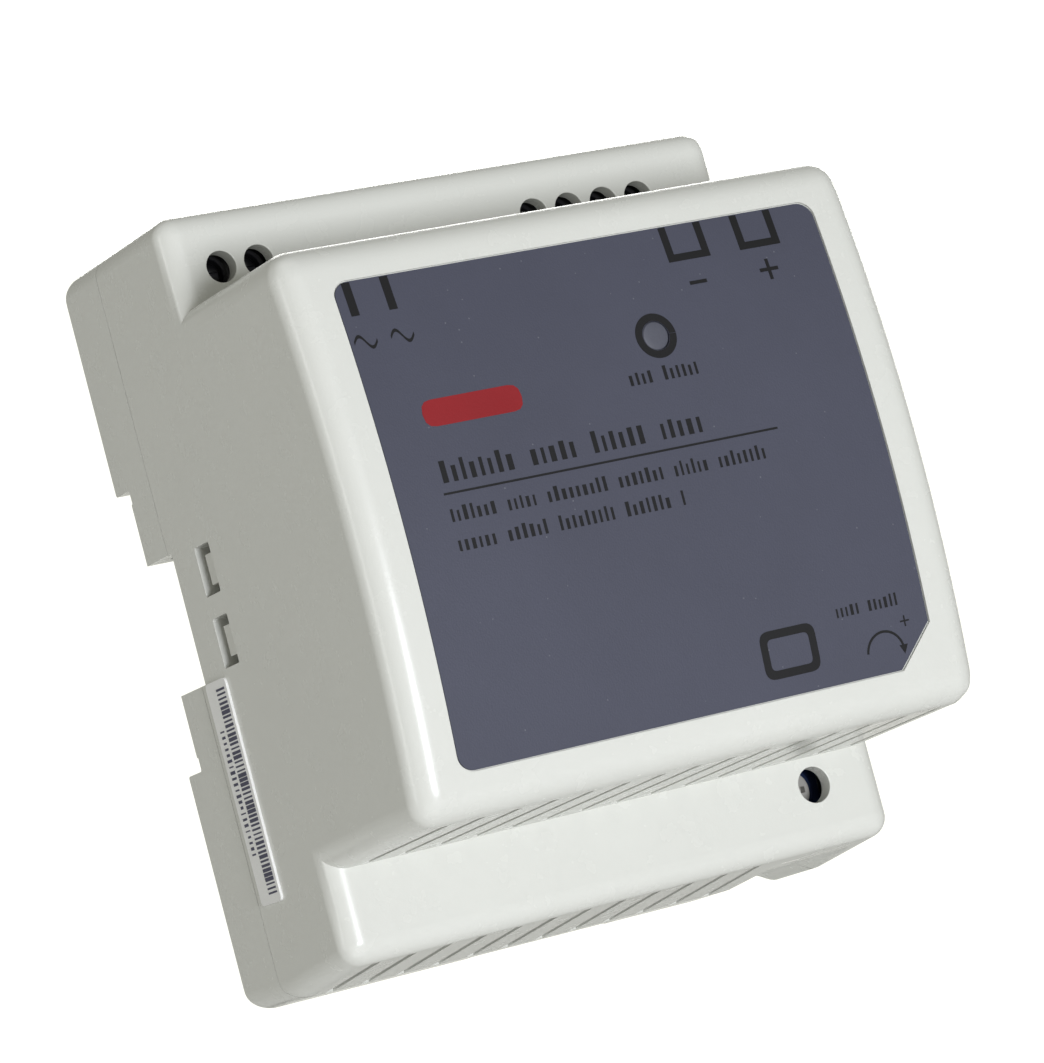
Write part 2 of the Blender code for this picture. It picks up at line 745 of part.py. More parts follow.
boolean(
    main_board,
    "DIFFERENCE",
    "board_cuts",
    together(
        *arm_slots(BOARD_FACE - 1, BOARD_REAR + 1, SIDE_NOTCH_HALF),
        *[rod(at, "Y", BOARD_SCREW_RADIUS + GAP, BOARD_FACE - 1, BOARD_REAR + 1, 12) for at in BOSSES],
    ),
)
SHEET_FRONT = BOARD_REAR + SHEET_STANDOFF
insulation_sheet = place(
    "insulation_sheet",
    block(
        (BOARD_LOW[0] + 0.5, SHEET_FRONT, BOARD_LOW[1] + 0.5),
        (BOARD_HIGH[0] - 0.5, SHEET_FRONT + SHEET_THICKNESS, BOARD_HIGH[1] - 0.5),
    ),
    paint("insulation film", (0.72, 0.70, 0.60), 0.4),
)
boolean(
    insulation_sheet,
    "DIFFERENCE",
    "sheet_cuts",
    together(
        *arm_slots(SHEET_FRONT - 1, SHEET_FRONT + 2, SIDE_NOTCH_HALF),
        *[rod(at, "Y", BOSS_RADIUS + GAP + 0.1, SHEET_FRONT - 1, SHEET_FRONT + 2, 12) for at in BOSSES],
    ),
)
board_screw_paint = paint("board screw steel", (0.60, 0.60, 0.62), 0.35, 1.0)
for number, at in enumerate(BOSSES, 1):
    place(
        f"board_screw_{number}",
        turned(
            at,
            [
                (BOARD_SCREW_HEAD, ON_BOARD - 2.0),
                (BOARD_SCREW_HEAD, ON_BOARD),
                (BOARD_SCREW_RADIUS, ON_BOARD),
                (BOARD_SCREW_RADIUS, BOARD_REAR + BOARD_SCREW_LENGTH - GAP),
            ],
            12,
        ),
        board_screw_paint.copy(),
    )

# ---------------------------------------------------------------- screw terminals
CAVITY_FRONT = TERMINAL_FRONT + CAVITY_TOP
CAVITY_REAR = ON_BOARD - CAVITY_FLOOR
CAGE_REAR = CAVITY_REAR - RUN
CAGE_FRONT = CAGE_REAR - CAGE_HEIGHT
HEAD_FRONT = TERMINAL_FRONT + 0.4
HEAD_REAR = HEAD_FRONT + HEAD_HEIGHT
SHANK_REAR = CAGE_FRONT + CAGE_WALL + 1.4
terminal_paint = paint("terminal plastic", (0.04, 0.04, 0.045), 0.5)
screw_paint = paint("terminal screw steel", (0.30, 0.30, 0.31), 0.4, 1.0)
cage_paint = paint("terminal clamp metal", (0.62, 0.60, 0.52), 0.35, 1.0)


def terminal(name, xs):
    """A terminal block: one housing with a wire cavity and a screw well for each pole."""
    ends = terminal_span(xs)
    housing = place(
        name,
        block((ends[0], TERMINAL_FRONT, TERMINAL_LOW), (ends[1], ON_BOARD, TERMINAL_TOP)),
        terminal_paint.copy(),
    )
    cavities, wells = [], []
    for x in xs:
        half = CAVITY_WIDTH / 2
        cavities.append(
            block((x - half, CAVITY_FRONT, TERMINAL_LOW + 1.2), (x + half, CAVITY_REAR, TERMINAL_TOP + 1))
        )
        wells.append(
            turned(
                (x, SCREW_LINE),
                [
                    (HEAD_RADIUS + RUN, TERMINAL_FRONT - 1),
                    (HEAD_RADIUS + RUN, HEAD_REAR + RUN),
                    (SHANK_RADIUS + RUN, HEAD_REAR + RUN),
                    (SHANK_RADIUS + RUN, CAVITY_FRONT + 0.5),
                ],
                12,
            )
        )
    boolean(housing, "DIFFERENCE", name + "_cavities", together(*cavities))
    boolean(housing, "DIFFERENCE", name + "_wells", together(*wells))
    return housing


def terminal_screw(name, x):
    """A captive slotted screw; it turns in place and draws its clamp up."""
    origin = (x, HEAD_FRONT, SCREW_LINE)
    screw = place(
        name,
        turned(
            (x, SCREW_LINE),
            [
                (HEAD_RADIUS - 0.3, HEAD_FRONT),
                (HEAD_RADIUS, HEAD_FRONT + 0.3),
                (HEAD_RADIUS, HEAD_REAR),
                (SHANK_RADIUS, HEAD_REAR),
                (SHANK_RADIUS, SHANK_REAR),
            ],
            12,
        ),
        screw_paint.copy(),
        origin,
    )
    boolean(
        screw,
        "DIFFERENCE",
        name + "_slot",
        block(
            (x - HEAD_RADIUS - 1, HEAD_FRONT - 1, SCREW_LINE - SLOT_WIDTH / 2),
            (x + HEAD_RADIUS + 1, HEAD_FRONT + SLOT_DEPTH, SCREW_LINE + SLOT_WIDTH / 2),
        ),
    )
    return screw


def terminal_clamp(name, x):
    """A metal cage that rises round the wire as the screw turns."""
    low, high = SCREW_LINE - CAGE_DEPTH / 2, SCREW_LINE + CAGE_DEPTH / 2
    half = CAGE_WIDTH / 2
    origin = (x, CAGE_FRONT, SCREW_LINE)
    cage = block((x - half, CAGE_FRONT, low), (x + half, CAGE_REAR, high))
    clamp = place(name, cage, cage_paint.copy(), origin)
    boolean(
        clamp,
        "DIFFERENCE",
        name + "_mouth",
        block(
            (x - half + CAGE_SIDE, CAGE_FRONT + CAGE_WALL, low - 1),
            (x + half - CAGE_SIDE, CAGE_REAR - CAGE_WALL, high + 1),
        ),
    )
    boolean(
        clamp,
        "DIFFERENCE",
        name + "_thread",
        rod((x, SCREW_LINE), "Y", SHANK_RADIUS + RUN, CAGE_FRONT - 1, CAGE_FRONT + CAGE_WALL + 0.5, 12),
    )
    return clamp


terminal("input_terminal", INPUT_XS)
terminal("output_terminal", OUTPUT_XS)
for group, xs in (("input", INPUT_XS), ("output", OUTPUT_XS)):
    for number, x in enumerate(xs, 1):
        terminal_screw(f"{group}_screw_{number}", x)
        terminal_clamp(f"{group}_clamp_{number}", x)

# ---------------------------------------------------------------- output trimmer
TRIM_SIZE = 9.2
TRIM_HEIGHT = 10.0
TRIM_WELL = 3.0
TRIM_ROTOR_RADIUS = 2.7
TRIM_FRONT = ON_BOARD - TRIM_HEIGHT
trim_body = place(
    "trim_body",
    block(
        (TRIM_X - TRIM_SIZE / 2, TRIM_FRONT, TRIM_Z - TRIM_SIZE / 2 + 0.6),
        (TRIM_X + TRIM_SIZE / 2, ON_BOARD, TRIM_Z + TRIM_SIZE / 2),
    ),
    paint("trimmer plastic", (0.05, 0.12, 0.35), 0.4),
)
boolean(
    trim_body,
    "DIFFERENCE",
    "trim_well",
    rod((TRIM_X, TRIM_Z), "Y", TRIM_ROTOR_RADIUS + RUN, TRIM_FRONT - 1, TRIM_FRONT + TRIM_WELL),
)
trim_rotor = place(
    "trim_rotor",
    turned(
        (TRIM_X, TRIM_Z),
        [
            (TRIM_ROTOR_RADIUS - 0.3, TRIM_FRONT - 0.8),
            (TRIM_ROTOR_RADIUS, TRIM_FRONT - 0.5),
            (TRIM_ROTOR_RADIUS, TRIM_FRONT + TRIM_WELL - RUN),
        ],
        16,
    ),
    paint("trimmer rotor plastic", (0.82, 0.80, 0.74), 0.4),
    (TRIM_X, TRIM_FRONT, TRIM_Z),
)
boolean(
    trim_rotor,
    "DIFFERENCE",
    "trim_rotor_slot",
    block((TRIM_X - 1.9, TRIM_FRONT - 2, TRIM_Z - 0.4), (TRIM_X + 1.9, TRIM_FRONT + 0.2, TRIM_Z + 0.4)),
)

# ---------------------------------------------------------------- output lamp
LAMP_RADIUS = 1.5
WINDOW_FRONT = front_y(LED_Z) + 0.1
WINDOW_REAR = front_y(LED_Z) + WALL + 0.8
LAMP_TIP = WINDOW_REAR + GAP
LAMP_BASE = LAMP_TIP + 5.0
place(
    "led_window",
    rod((LED_X, LED_Z), "Y", LED_ACCESS / 2 - GAP, WINDOW_FRONT, WINDOW_REAR),
    paint("window plastic", (0.55, 0.60, 0.56), 0.2),
)
place(
    "status_led",
    turned(
        (LED_X, LED_Z),
        [
            (LAMP_RADIUS * 0.5, LAMP_TIP),
            (LAMP_RADIUS * 0.87, LAMP_TIP + 0.7),
            (LAMP_RADIUS, LAMP_TIP + 1.5),
            (LAMP_RADIUS, LAMP_BASE - 1.0),
            (LAMP_RADIUS + 0.35, LAMP_BASE - 1.0),
            (LAMP_RADIUS + 0.35, LAMP_BASE),
        ],
        16,
    ),
    paint("lamp resin", (0.20, 0.55, 0.25), 0.2),
)
place(
    "led_spacer",
    rod((LED_X, LED_Z), "Y", 2.3, LAMP_BASE + GAP, ON_BOARD, 12),
    paint("spacer nylon", (0.80, 0.80, 0.78), 0.5),
)

# ---------------------------------------------------------------- components on the board
FUSE_LENGTH = 20.0
FUSE_CAP = 5.0


def disc(at, radius, thickness, height):
    """A coated disc component standing on its edge, flat sides left and right."""
    centre = (ON_BOARD - height / 2 - 1.0, at[1])
    return rod(centre, "X", radius, at[0] - thickness / 2, at[0] + thickness / 2, 14)


def upright_can(at, radius, height):
    """A round can capacitor standing on the board, with a rolled groove near its seal."""
    tip = ON_BOARD - height
    return turned(
        at,
        [
            (radius - 0.8, tip),
            (radius, tip + 0.8),
            (radius, ON_BOARD - 3.0),
            (radius - 0.6, ON_BOARD - 2.3),
            (radius, ON_BOARD - 1.6),
            (radius, ON_BOARD),
        ],
        18,
    )


FUSE_LINE = (ON_BOARD - 3.2, SCREW_LINE - 2.3)
FUSE_LEFT = BOSSES[0][0] + BOARD_SCREW_HEAD + GAP
FUSE_RIGHT = FUSE_LEFT + FUSE_LENGTH
place(
    "fuse_glass",
    rod(FUSE_LINE, "X", 2.3, FUSE_LEFT + FUSE_CAP + GAP, FUSE_RIGHT - FUSE_CAP - GAP, 12),
    paint("fuse glass", (0.70, 0.72, 0.72), 0.15),
)
cap_paint = paint("fuse cap metal", (0.66, 0.66, 0.67), 0.3, 1.0)
place("fuse_cap_1", rod(FUSE_LINE, "X", 2.6, FUSE_LEFT, FUSE_LEFT + FUSE_CAP, 12), cap_paint)
place("fuse_cap_2", rod(FUSE_LINE, "X", 2.6, FUSE_RIGHT - FUSE_CAP, FUSE_RIGHT, 12), cap_paint.copy())
INPUT_SIDE = BOARD_LOW[0]
OUTPUT_SIDE = BOARD_HIGH[0]
place(
    "inrush_thermistor",
    disc((INPUT_SIDE + 6.0, 26.5), 5.0, 4.0, 12.0),
    paint("thermistor coat", (0.05, 0.12, 0.06), 0.5),
)
place(
    "line_capacitor",
    rounded(
        block((INPUT_SIDE + 2.0, ON_BOARD - 14.0, 10.0), (INPUT_SIDE + 19.0, ON_BOARD, 18.0)), 0.8, 1, sharp
    ),
    paint("line capacitor case", (0.65, 0.50, 0.10), 0.45),
)
CHOKE = (INPUT_SIDE + 21.0, 26.0)
choke_core = place(
    "choke_core",
    block(
        (CHOKE[0] - 7.0, ON_BOARD - 17.0, CHOKE[1] - 5.5),
        (CHOKE[0] + 7.0, ON_BOARD - 1.0, CHOKE[1] + 5.5),
    ),
    paint("choke ferrite", (0.07, 0.07, 0.08), 0.6),
)
boolean(
    choke_core,
    "DIFFERENCE",
    "choke_window",
    block((CHOKE[0] - 4.4, ON_BOARD - 13.0, CHOKE[1] - 7), (CHOKE[0] + 4.4, ON_BOARD - 5.0, CHOKE[1] + 7)),
)
place(
    "choke_winding",
    rounded(
        block(
            (CHOKE[0] - 4.0, ON_BOARD - 12.6, CHOKE[1] - 5.0),
            (CHOKE[0] + 4.0, ON_BOARD - 5.4, CHOKE[1] + 5.0),
        ),
        1.6,
        2,
        sharp,
    ),
    paint("choke wire", (0.45, 0.20, 0.08), 0.4, 0.6),
)
place(
    "bridge_rectifier",
    rounded(
        block((INPUT_SIDE + 6.0, ON_BOARD - 13.0, 2.4), (INPUT_SIDE + 21.0, ON_BOARD - 2.0, 6.0)),
        0.5,
        1,
        sharp,
    ),
    paint("rectifier epoxy", (0.03, 0.03, 0.03), 0.45),
)
BULK = (INPUT_SIDE + 12.0, -20.0)
place(
    "bulk_capacitor", upright_can(BULK, 9.0, 32.0), paint("bulk capacitor sleeve", (0.04, 0.05, 0.09), 0.4)
)
SINK_X = BULK[0] + 15.2
place(
    "primary_heatsink",
    block((SINK_X - 0.9, ON_BOARD - 28.0, -31.0), (SINK_X + 0.9, ON_BOARD, -7.0)),
    paint("primary heatsink metal", (0.62, 0.63, 0.64), 0.4, 1.0),
)
place(
    "switch_transistor",
    rounded(
        block((SINK_X - 5.5, ON_BOARD - 21.0, -23.0), (SINK_X - 1.2, ON_BOARD - 3.0, -13.0)), 0.5, 1, sharp
    ),
    paint("transistor epoxy", (0.03, 0.03, 0.03), 0.45),
)
CORE = (6.5, -2.0)
core_low = (CORE[0] - 12.0, ON_BOARD - 24.0, CORE[1] - 6.0)
core_high = (CORE[0] + 12.0, ON_BOARD - 3.0, CORE[1] + 6.0)
transformer_core = place(
    "transformer_core", block(core_low, core_high), paint("transformer ferrite", (0.08, 0.08, 0.09), 0.6)
)
boolean(
    transformer_core,
    "DIFFERENCE",
    "core_windows",
    together(
        *[
            block(
                (CORE[0] + side * 6.2 - 2.6, core_low[1] + 3.5, core_low[2] - 1),
                (CORE[0] + side * 6.2 + 2.6, core_high[1] - 3.5, core_high[2] + 1),
            )
            for side in (-1, 1)
        ]
    ),
)
LEG_HALF = 6.2 - 2.6
transformer_coil = place(
    "transformer_coil",
    rounded(
        block(
            (CORE[0] - 8.4, core_low[1] + 4.0, CORE[1] - 9.5),
            (CORE[0] + 8.4, core_high[1] - 4.0, CORE[1] + 9.5),
        ),
        2.0,
        2,
        sharp,
    ),
    paint("transformer tape", (0.75, 0.62, 0.10), 0.45),
)
boolean(
    transformer_coil,
    "DIFFERENCE",
    "coil_bore",
    block(
        (CORE[0] - LEG_HALF - GAP, core_low[1] - 1, CORE[1] - 6.0 - GAP),
        (CORE[0] + LEG_HALF + GAP, core_high[1] + 1, CORE[1] + 6.0 + GAP),
    ),
)
place(
    "safety_capacitor",
    disc((3.0, -18.5), 3.8, 3.0, 9.0),
    paint("safety capacitor coat", (0.08, 0.22, 0.50), 0.4),
)
place(
    "control_chip",
    rounded(block((-3.0, ON_BOARD - 3.6, -31.0), (6.6, ON_BOARD, -24.6)), 0.4, 1, sharp),
    paint("chip epoxy", (0.03, 0.03, 0.03), 0.5),
)
place(
    "optocoupler",
    rounded(block((9.0, ON_BOARD - 3.6, -30.6), (13.6, ON_BOARD, -24.2)), 0.4, 1, sharp),
    paint("optocoupler resin", (0.80, 0.80, 0.76), 0.5),
)
PLATE_X = 21.6
place(
    "secondary_heatsink",
    block((PLATE_X - 0.9, ON_BOARD - 28.0, -27.0), (PLATE_X + 0.9, ON_BOARD, 9.0)),
    paint("secondary heatsink metal", (0.62, 0.63, 0.64), 0.4, 1.0),
)
place(
    "output_rectifier",
    rounded(
        block((PLATE_X + 1.2, ON_BOARD - 21.0, -16.0), (PLATE_X + 5.6, ON_BOARD - 3.0, -6.0)), 0.5, 1, sharp
    ),
    paint("diode epoxy", (0.03, 0.03, 0.03), 0.45),
)
output_can_paint = paint("output capacitor sleeve", (0.05, 0.05, 0.08), 0.4)
for number, at in enumerate(((15.0, 20.5), (26.4, 20.5)), 1):
    place(f"output_capacitor_{number}", upright_can(at, 5.0, 20.0), output_can_paint.copy())
place(
    "output_inductor",
    turned(
        (-1.2, 24.5),
        [
            (4.6, ON_BOARD - 13.0),
            (4.6, ON_BOARD - 11.6),
            (4.0, ON_BOARD - 11.4),
            (4.0, ON_BOARD - 1.8),
            (4.6, ON_BOARD - 1.6),
            (4.6, ON_BOARD),
        ],
        16,
    ),
    paint("inductor sleeve", (0.06, 0.06, 0.07), 0.5),
)
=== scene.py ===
# %% [markdown]
# # The looks of a rail power supply
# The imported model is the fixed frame: it says where every piece is and what moves. This script only
# makes what is seen. Each step below explains a piece or a finish of the real unit, then builds it.

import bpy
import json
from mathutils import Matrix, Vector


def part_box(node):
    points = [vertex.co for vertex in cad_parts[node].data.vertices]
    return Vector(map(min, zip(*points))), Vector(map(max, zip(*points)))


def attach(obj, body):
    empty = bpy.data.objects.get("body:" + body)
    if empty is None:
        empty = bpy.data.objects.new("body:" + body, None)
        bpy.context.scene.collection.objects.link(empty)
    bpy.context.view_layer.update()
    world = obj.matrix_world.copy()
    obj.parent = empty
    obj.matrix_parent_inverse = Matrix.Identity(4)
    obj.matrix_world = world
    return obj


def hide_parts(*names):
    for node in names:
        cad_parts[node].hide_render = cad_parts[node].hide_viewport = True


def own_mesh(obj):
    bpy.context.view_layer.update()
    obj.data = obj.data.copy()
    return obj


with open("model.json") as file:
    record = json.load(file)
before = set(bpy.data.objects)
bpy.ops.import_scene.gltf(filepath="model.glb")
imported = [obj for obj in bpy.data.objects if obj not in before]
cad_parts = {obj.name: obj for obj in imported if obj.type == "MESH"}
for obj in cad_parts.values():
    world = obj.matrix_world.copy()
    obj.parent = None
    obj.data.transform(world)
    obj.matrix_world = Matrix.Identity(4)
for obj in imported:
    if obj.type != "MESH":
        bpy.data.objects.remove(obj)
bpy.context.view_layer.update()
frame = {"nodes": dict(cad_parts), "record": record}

# %% [markdown]
# Sizes on a drawing of such a unit are in millimetres, and Blender works in metres. Every shape is
# drawn in millimetres and scaled once, when its mesh is made. Places are read from the frame's boxes.

# %% Units and places
import json
import math
import random

import bmesh
import bpy
from mathutils import Matrix, Vector

MM = 0.001


def corners(node):
    """A frame node's lowest and highest corners, in millimetres."""
    low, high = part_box(node)
    return low / MM, high / MM


def middle(node):
    low, high = corners(node)
    return (low + high) / 2


COVER_LOW, COVER_HIGH = corners("front_cover")
BASE_HIGH = corners("rear_base")[1]
LEFT, RIGHT = COVER_LOW.x, COVER_HIGH.x
BOTTOM, TOP = COVER_LOW.z, COVER_HIGH.z
COVER_REAR = COVER_HIGH.y
print(f"cover {RIGHT - LEFT:.1f} wide, {TOP - BOTTOM:.1f} high, front at {COVER_LOW.y:.1f}")

# %% [markdown]
# A long lens from the left and a little below shows the front, the left side and the undersides. Such
# a lens keeps edges nearly parallel. The camera is rolled, so the unit leans as if laid down casually.

# %% Camera
lens = bpy.data.cameras.new("studio_camera")
lens.sensor_width = 36.0
lens.lens = 165.776
lens.shift_x, lens.shift_y = 0.016564, -0.067383
camera = bpy.data.objects.new("studio_camera", lens)
camera.location = (-0.29477, -0.53626, -0.06031)
camera.rotation_euler = [math.radians(a) for a in (96.9548, 14.9318, -28.078)]
bpy.context.scene.collection.objects.link(camera)
bpy.context.scene.camera = camera
print("camera", round(camera.location.length, 3), "m from the rail face")

# %% [markdown]
# Studio light is soft. The main light stands in front and a little low, so the front and its lower
# rounding are bright and the left side falls into shade. A narrow one at the left draws a thin gleam
# along the rounded front edge, and a large one behind keeps the rear readable. The floor lies far
# below, so it neither blocks the low main light nor catches a hard shadow.

# %% Lights and floor
FLOOR_DROP = 0.72
FLOOR_HALF = 3.0
UNIT_CENTRE = (0.0, -0.03, 0.0)


def soft_light(name, place, width, height, power, colour):
    """A rectangular light that faces the unit."""
    lamp = bpy.data.lights.new(name, "AREA")
    lamp.color = colour
    lamp.shape = "RECTANGLE"
    lamp.size, lamp.size_y = width, height
    lamp.energy = power
    holder = bpy.data.objects.new(name, lamp)
    holder.location = place
    holder.rotation_euler = (Vector(UNIT_CENTRE) - Vector(place)).to_track_quat("-Z", "Y").to_euler()
    bpy.context.scene.collection.objects.link(holder)
    return holder


soft_light("front_light", (-0.14, -1.20, -0.22), 0.30, 0.28, 11.6, (0.96, 0.98, 1.04))
soft_light("left_gleam", (-1.25, -0.06, 0.12), 0.08, 0.90, 2.2, (1.0, 1.0, 1.0))
soft_light("back_fill", (0.75, 1.10, 0.45), 0.80, 0.80, 9.0, (1.0, 1.0, 0.98))

floor_mesh = bpy.data.meshes.new("studio_floor")
floor_height = BOTTOM * MM - FLOOR_DROP
floor_corners = [(x * FLOOR_HALF, y * FLOOR_HALF, floor_height)
                 for x, y in ((-1, -1), (1, -1), (1, 1), (-1, 1))]
floor_mesh.from_pydata(floor_corners, [], [(0, 1, 2, 3)])
floor = bpy.data.objects.new("studio_floor", floor_mesh)
bpy.context.scene.collection.objects.link(floor)
print("stage: 3 lights, floor", round(FLOOR_DROP * 1000), "mm below the unit")

# %% [markdown]
# The sky fills the shade with even, faintly green light. A studio also lights a backdrop behind the
# object. Here that is a brighter patch of sky round the direction in which the camera aims. A dot
# product of the two directions says how near they are, and Map Range turns that into a level.

# %% Sky with a lit backdrop
SKY_LEVEL = 0.34
BACKDROP_LEVEL = 1.15
BACKDROP_EDGE, BACKDROP_CORE = (math.cos(math.radians(angle)) for angle in (24, 13))
world = bpy.data.worlds.new("pale_studio")
world.use_nodes = True
sky_tree = world.node_tree
sky = sky_tree.nodes["Background"]
sky.inputs["Color"].default_value = (1.0, 1.0, 0.93, 1.0)
aim = camera.rotation_euler.to_matrix() @ Vector((0.0, 0.0, -1.0))
direction = sky_tree.nodes.new("ShaderNodeTexCoord")
nearness = sky_tree.nodes.new("ShaderNodeVectorMath")
nearness.operation = "DOT_PRODUCT"
nearness.inputs[1].default_value = aim
sky_tree.links.new(direction.outputs["Generated"], nearness.inputs[0])
level = sky_tree.nodes.new("ShaderNodeMapRange")
level.interpolation_type = "SMOOTHSTEP"
for label, value in (("From Min", BACKDROP_EDGE), ("From Max", BACKDROP_CORE),
                     ("To Min", SKY_LEVEL), ("To Max", BACKDROP_LEVEL)):
    level.inputs[label].default_value = value
sky_tree.links.new(nearness.outputs["Value"], level.inputs["Value"])
sky_tree.links.new(level.outputs["Result"], sky.inputs["Strength"])
bpy.context.scene.world = world
bpy.context.scene.view_settings.view_transform = "Standard"
print("sky level", SKY_LEVEL, "and backdrop", BACKDROP_LEVEL)

# %% [markdown]
# ## Finishes
# Real moulded plastic is never one flat colour. Resin flow leaves faint cloudy patches, the mould's
# spark-eroded skin gives a fine grain, and the gloss wanders a little. One builder makes them all:
# a wide noise shifts the colour, a middle one the roughness, and a fine one raises the grain. First
# come the small tools that add and join its nodes.


# %% Shader tools
def add(tree, kind, **settings):
    """A shader node; keyword names are its input sockets, or its own properties."""
    made = tree.nodes.new(kind)
    for name, value in settings.items():
        label = name.replace("_", " ")
        if label in made.inputs:
            made.inputs[label].default_value = value
        else:
            setattr(made, name, value)
    return made


def noise(tree, spots, scale, detail=3.0, roughness=0.55):
    made = add(tree, "ShaderNodeTexNoise", Scale=scale, Detail=detail, Roughness=roughness)
    tree.links.new(spots, made.inputs["Vector"])
    return made.outputs["Fac"]


def spread_between(tree, factor, low, high):
    """Turns a noise, which stays near its middle, into the full range from low to high."""
    made = add(tree, "ShaderNodeMapRange")
    for label, value in (("From Min", 0.3), ("From Max", 0.7), ("To Min", low), ("To Max", high)):
        made.inputs[label].default_value = value
    tree.links.new(factor, made.inputs["Value"])
    return made.outputs["Result"]


def two_tone(tree, factor, first, second):
    made = add(tree, "ShaderNodeMix", data_type="RGBA")
    made.inputs["A"].default_value = (*first, 1.0)
    made.inputs["B"].default_value = (*second, 1.0)
    tree.links.new(factor, made.inputs["Factor"])
    return made.outputs["Result"]


def shade(colour, share):
    return tuple(min(1.0, c * share) for c in colour)


print("shader tools ready")

# %% [markdown]
# The builder reads Object coordinates, so a pattern is fixed to the piece and moves with it. A Mapping
# node can stretch the pattern, which gives metal its rolling marks.


# %% The finish builder
def finish(name, colour, rough=0.45, metallic=0.0, cloud=0.04, cloud_scale=45.0,
           grain_scale=2600.0, relief=0.08, stretch=(1.0, 1.0, 1.0), coat=0.0, shine=0.5, wander=0.03):
    """A material whose colour, gloss and skin all vary a little over the surface."""
    made = bpy.data.materials.new(name)
    made.use_nodes = True
    tree = made.node_tree
    shader = tree.nodes["Principled BSDF"]
    shader.inputs["Metallic"].default_value = metallic
    shader.inputs["Coat Weight"].default_value = coat
    shader.inputs["Specular IOR Level"].default_value = shine
    place = add(tree, "ShaderNodeTexCoord").outputs["Object"]
    drawn = add(tree, "ShaderNodeMapping", Scale=stretch)
    tree.links.new(place, drawn.inputs["Vector"])
    spots = drawn.outputs["Vector"]
    cloudy = spread_between(tree, noise(tree, spots, cloud_scale, 4.0), 0.0, 1.0)
    tone = two_tone(tree, cloudy, shade(colour, 1 - cloud), shade(colour, 1 + cloud))
    tree.links.new(tone, shader.inputs["Base Color"])
    gloss = spread_between(tree, noise(tree, spots, cloud_scale * 7), rough - wander, rough + wander)
    tree.links.new(gloss, shader.inputs["Roughness"])
    bump = add(tree, "ShaderNodeBump", Strength=relief, Distance=0.0002)
    tree.links.new(noise(tree, spots, grain_scale, 2.0), bump.inputs["Height"])
    tree.links.new(bump.outputs["Normal"], shader.inputs["Normal"])
    return made


slot_colour = {m["slot"]: tuple(m["base_color"][:3]) for m in frame["record"]["materials"]}
slot_of = {p["node"]: p["material_slot"] for p in frame["record"]["subparts"]}
print("finish builder ready;", len(slot_colour), "slots in the record")

# %% [markdown]
# The case is light grey moulded plastic with a green-yellow cast that shows in the shade. Handling
# leaves a few dark specks of dust, far apart: a cell pattern whose centres are cut very small.


# %% Case plastic
def dust(made, spacing, size, share_kept, colour):
    """Sparse specks: one possible speck in each cell, most cells left clean."""
    tree = made.node_tree
    shader = tree.nodes["Principled BSDF"]
    place = add(tree, "ShaderNodeTexCoord").outputs["Object"]
    cells = add(tree, "ShaderNodeTexVoronoi", Scale=1.0 / spacing)
    tree.links.new(place, cells.inputs["Vector"])
    near = add(tree, "ShaderNodeMath", operation="LESS_THAN")
    near.inputs[1].default_value = size / spacing
    tree.links.new(cells.outputs["Distance"], near.inputs[0])
    pick = add(tree, "ShaderNodeSeparateColor")
    tree.links.new(cells.outputs["Color"], pick.inputs["Color"])
    chosen = add(tree, "ShaderNodeMath", operation="LESS_THAN")
    chosen.inputs[1].default_value = share_kept
    tree.links.new(pick.outputs["Red"], chosen.inputs[0])
    both = add(tree, "ShaderNodeMath", operation="MULTIPLY")
    tree.links.new(near.outputs[0], both.inputs[0])
    tree.links.new(chosen.outputs[0], both.inputs[1])
    before = shader.inputs["Base Color"].links[0].from_socket
    mix = add(tree, "ShaderNodeMix", data_type="RGBA")
    mix.inputs["B"].default_value = (*colour, 1.0)
    tree.links.new(before, mix.inputs["A"])
    tree.links.new(both.outputs[0], mix.inputs["Factor"])
    tree.links.new(mix.outputs["Result"], shader.inputs["Base Color"])


finishes = {}


def paint_slot(slot, name, rough, colour=None, **skin):
    """A finish for a slot of the record; without a colour of its own it keeps the record's."""
    finishes[slot] = finish(name, colour or slot_colour[slot], rough, **skin)


paint_slot("housing_plastic", "case plastic", 0.27, (0.66, 0.665, 0.62),
           cloud=0.010, relief=0.05, wander=0.008)
dust(finishes["housing_plastic"], 0.012, 0.00016, 0.25, (0.30, 0.29, 0.24))
paint_slot("clip_plastic", "clip plastic", 0.46, (0.60, 0.605, 0.56), cloud=0.03, relief=0.14)
print("case finishes:", ", ".join(finishes))

# %% [markdown]
# The front label is a printed film. Its slate ground is flecked: pale pin-points show where the print
# missed the film's tooth. The same speck pattern, in a pale colour, does it.

# %% Label film, sticker paper and inks
paint_slot("label_film", "label film", 0.55, (0.058, 0.061, 0.088),
           cloud=0.05, grain_scale=4200.0, relief=0.16, shine=0.4)
dust(finishes["label_film"], 0.0016, 0.00010, 0.5, (0.12, 0.125, 0.15))
paint_slot("sticker_paper", "sticker paper", 0.55, (0.80, 0.80, 0.78), cloud=0.02, relief=0.06)
black_ink = finish("black ink", (0.007, 0.007, 0.008), 0.55, cloud=0.10, grain_scale=3600.0, shine=0.3)
red_ink = finish("red ink", (0.25, 0.012, 0.016), 0.5, cloud=0.08, grain_scale=3600.0, shine=0.3)
bar_ink = finish("bar ink", (0.06, 0.06, 0.10), 0.55, cloud=0.15, grain_scale=3600.0)
print("label finishes made")

# %% [markdown]
# Inside are the materials of electronics: metals with a drawn or blasted skin, glossy sleeves, dull
# ferrite, enamelled wire, moulded epoxy. A stretched noise gives a metal its rolling direction.

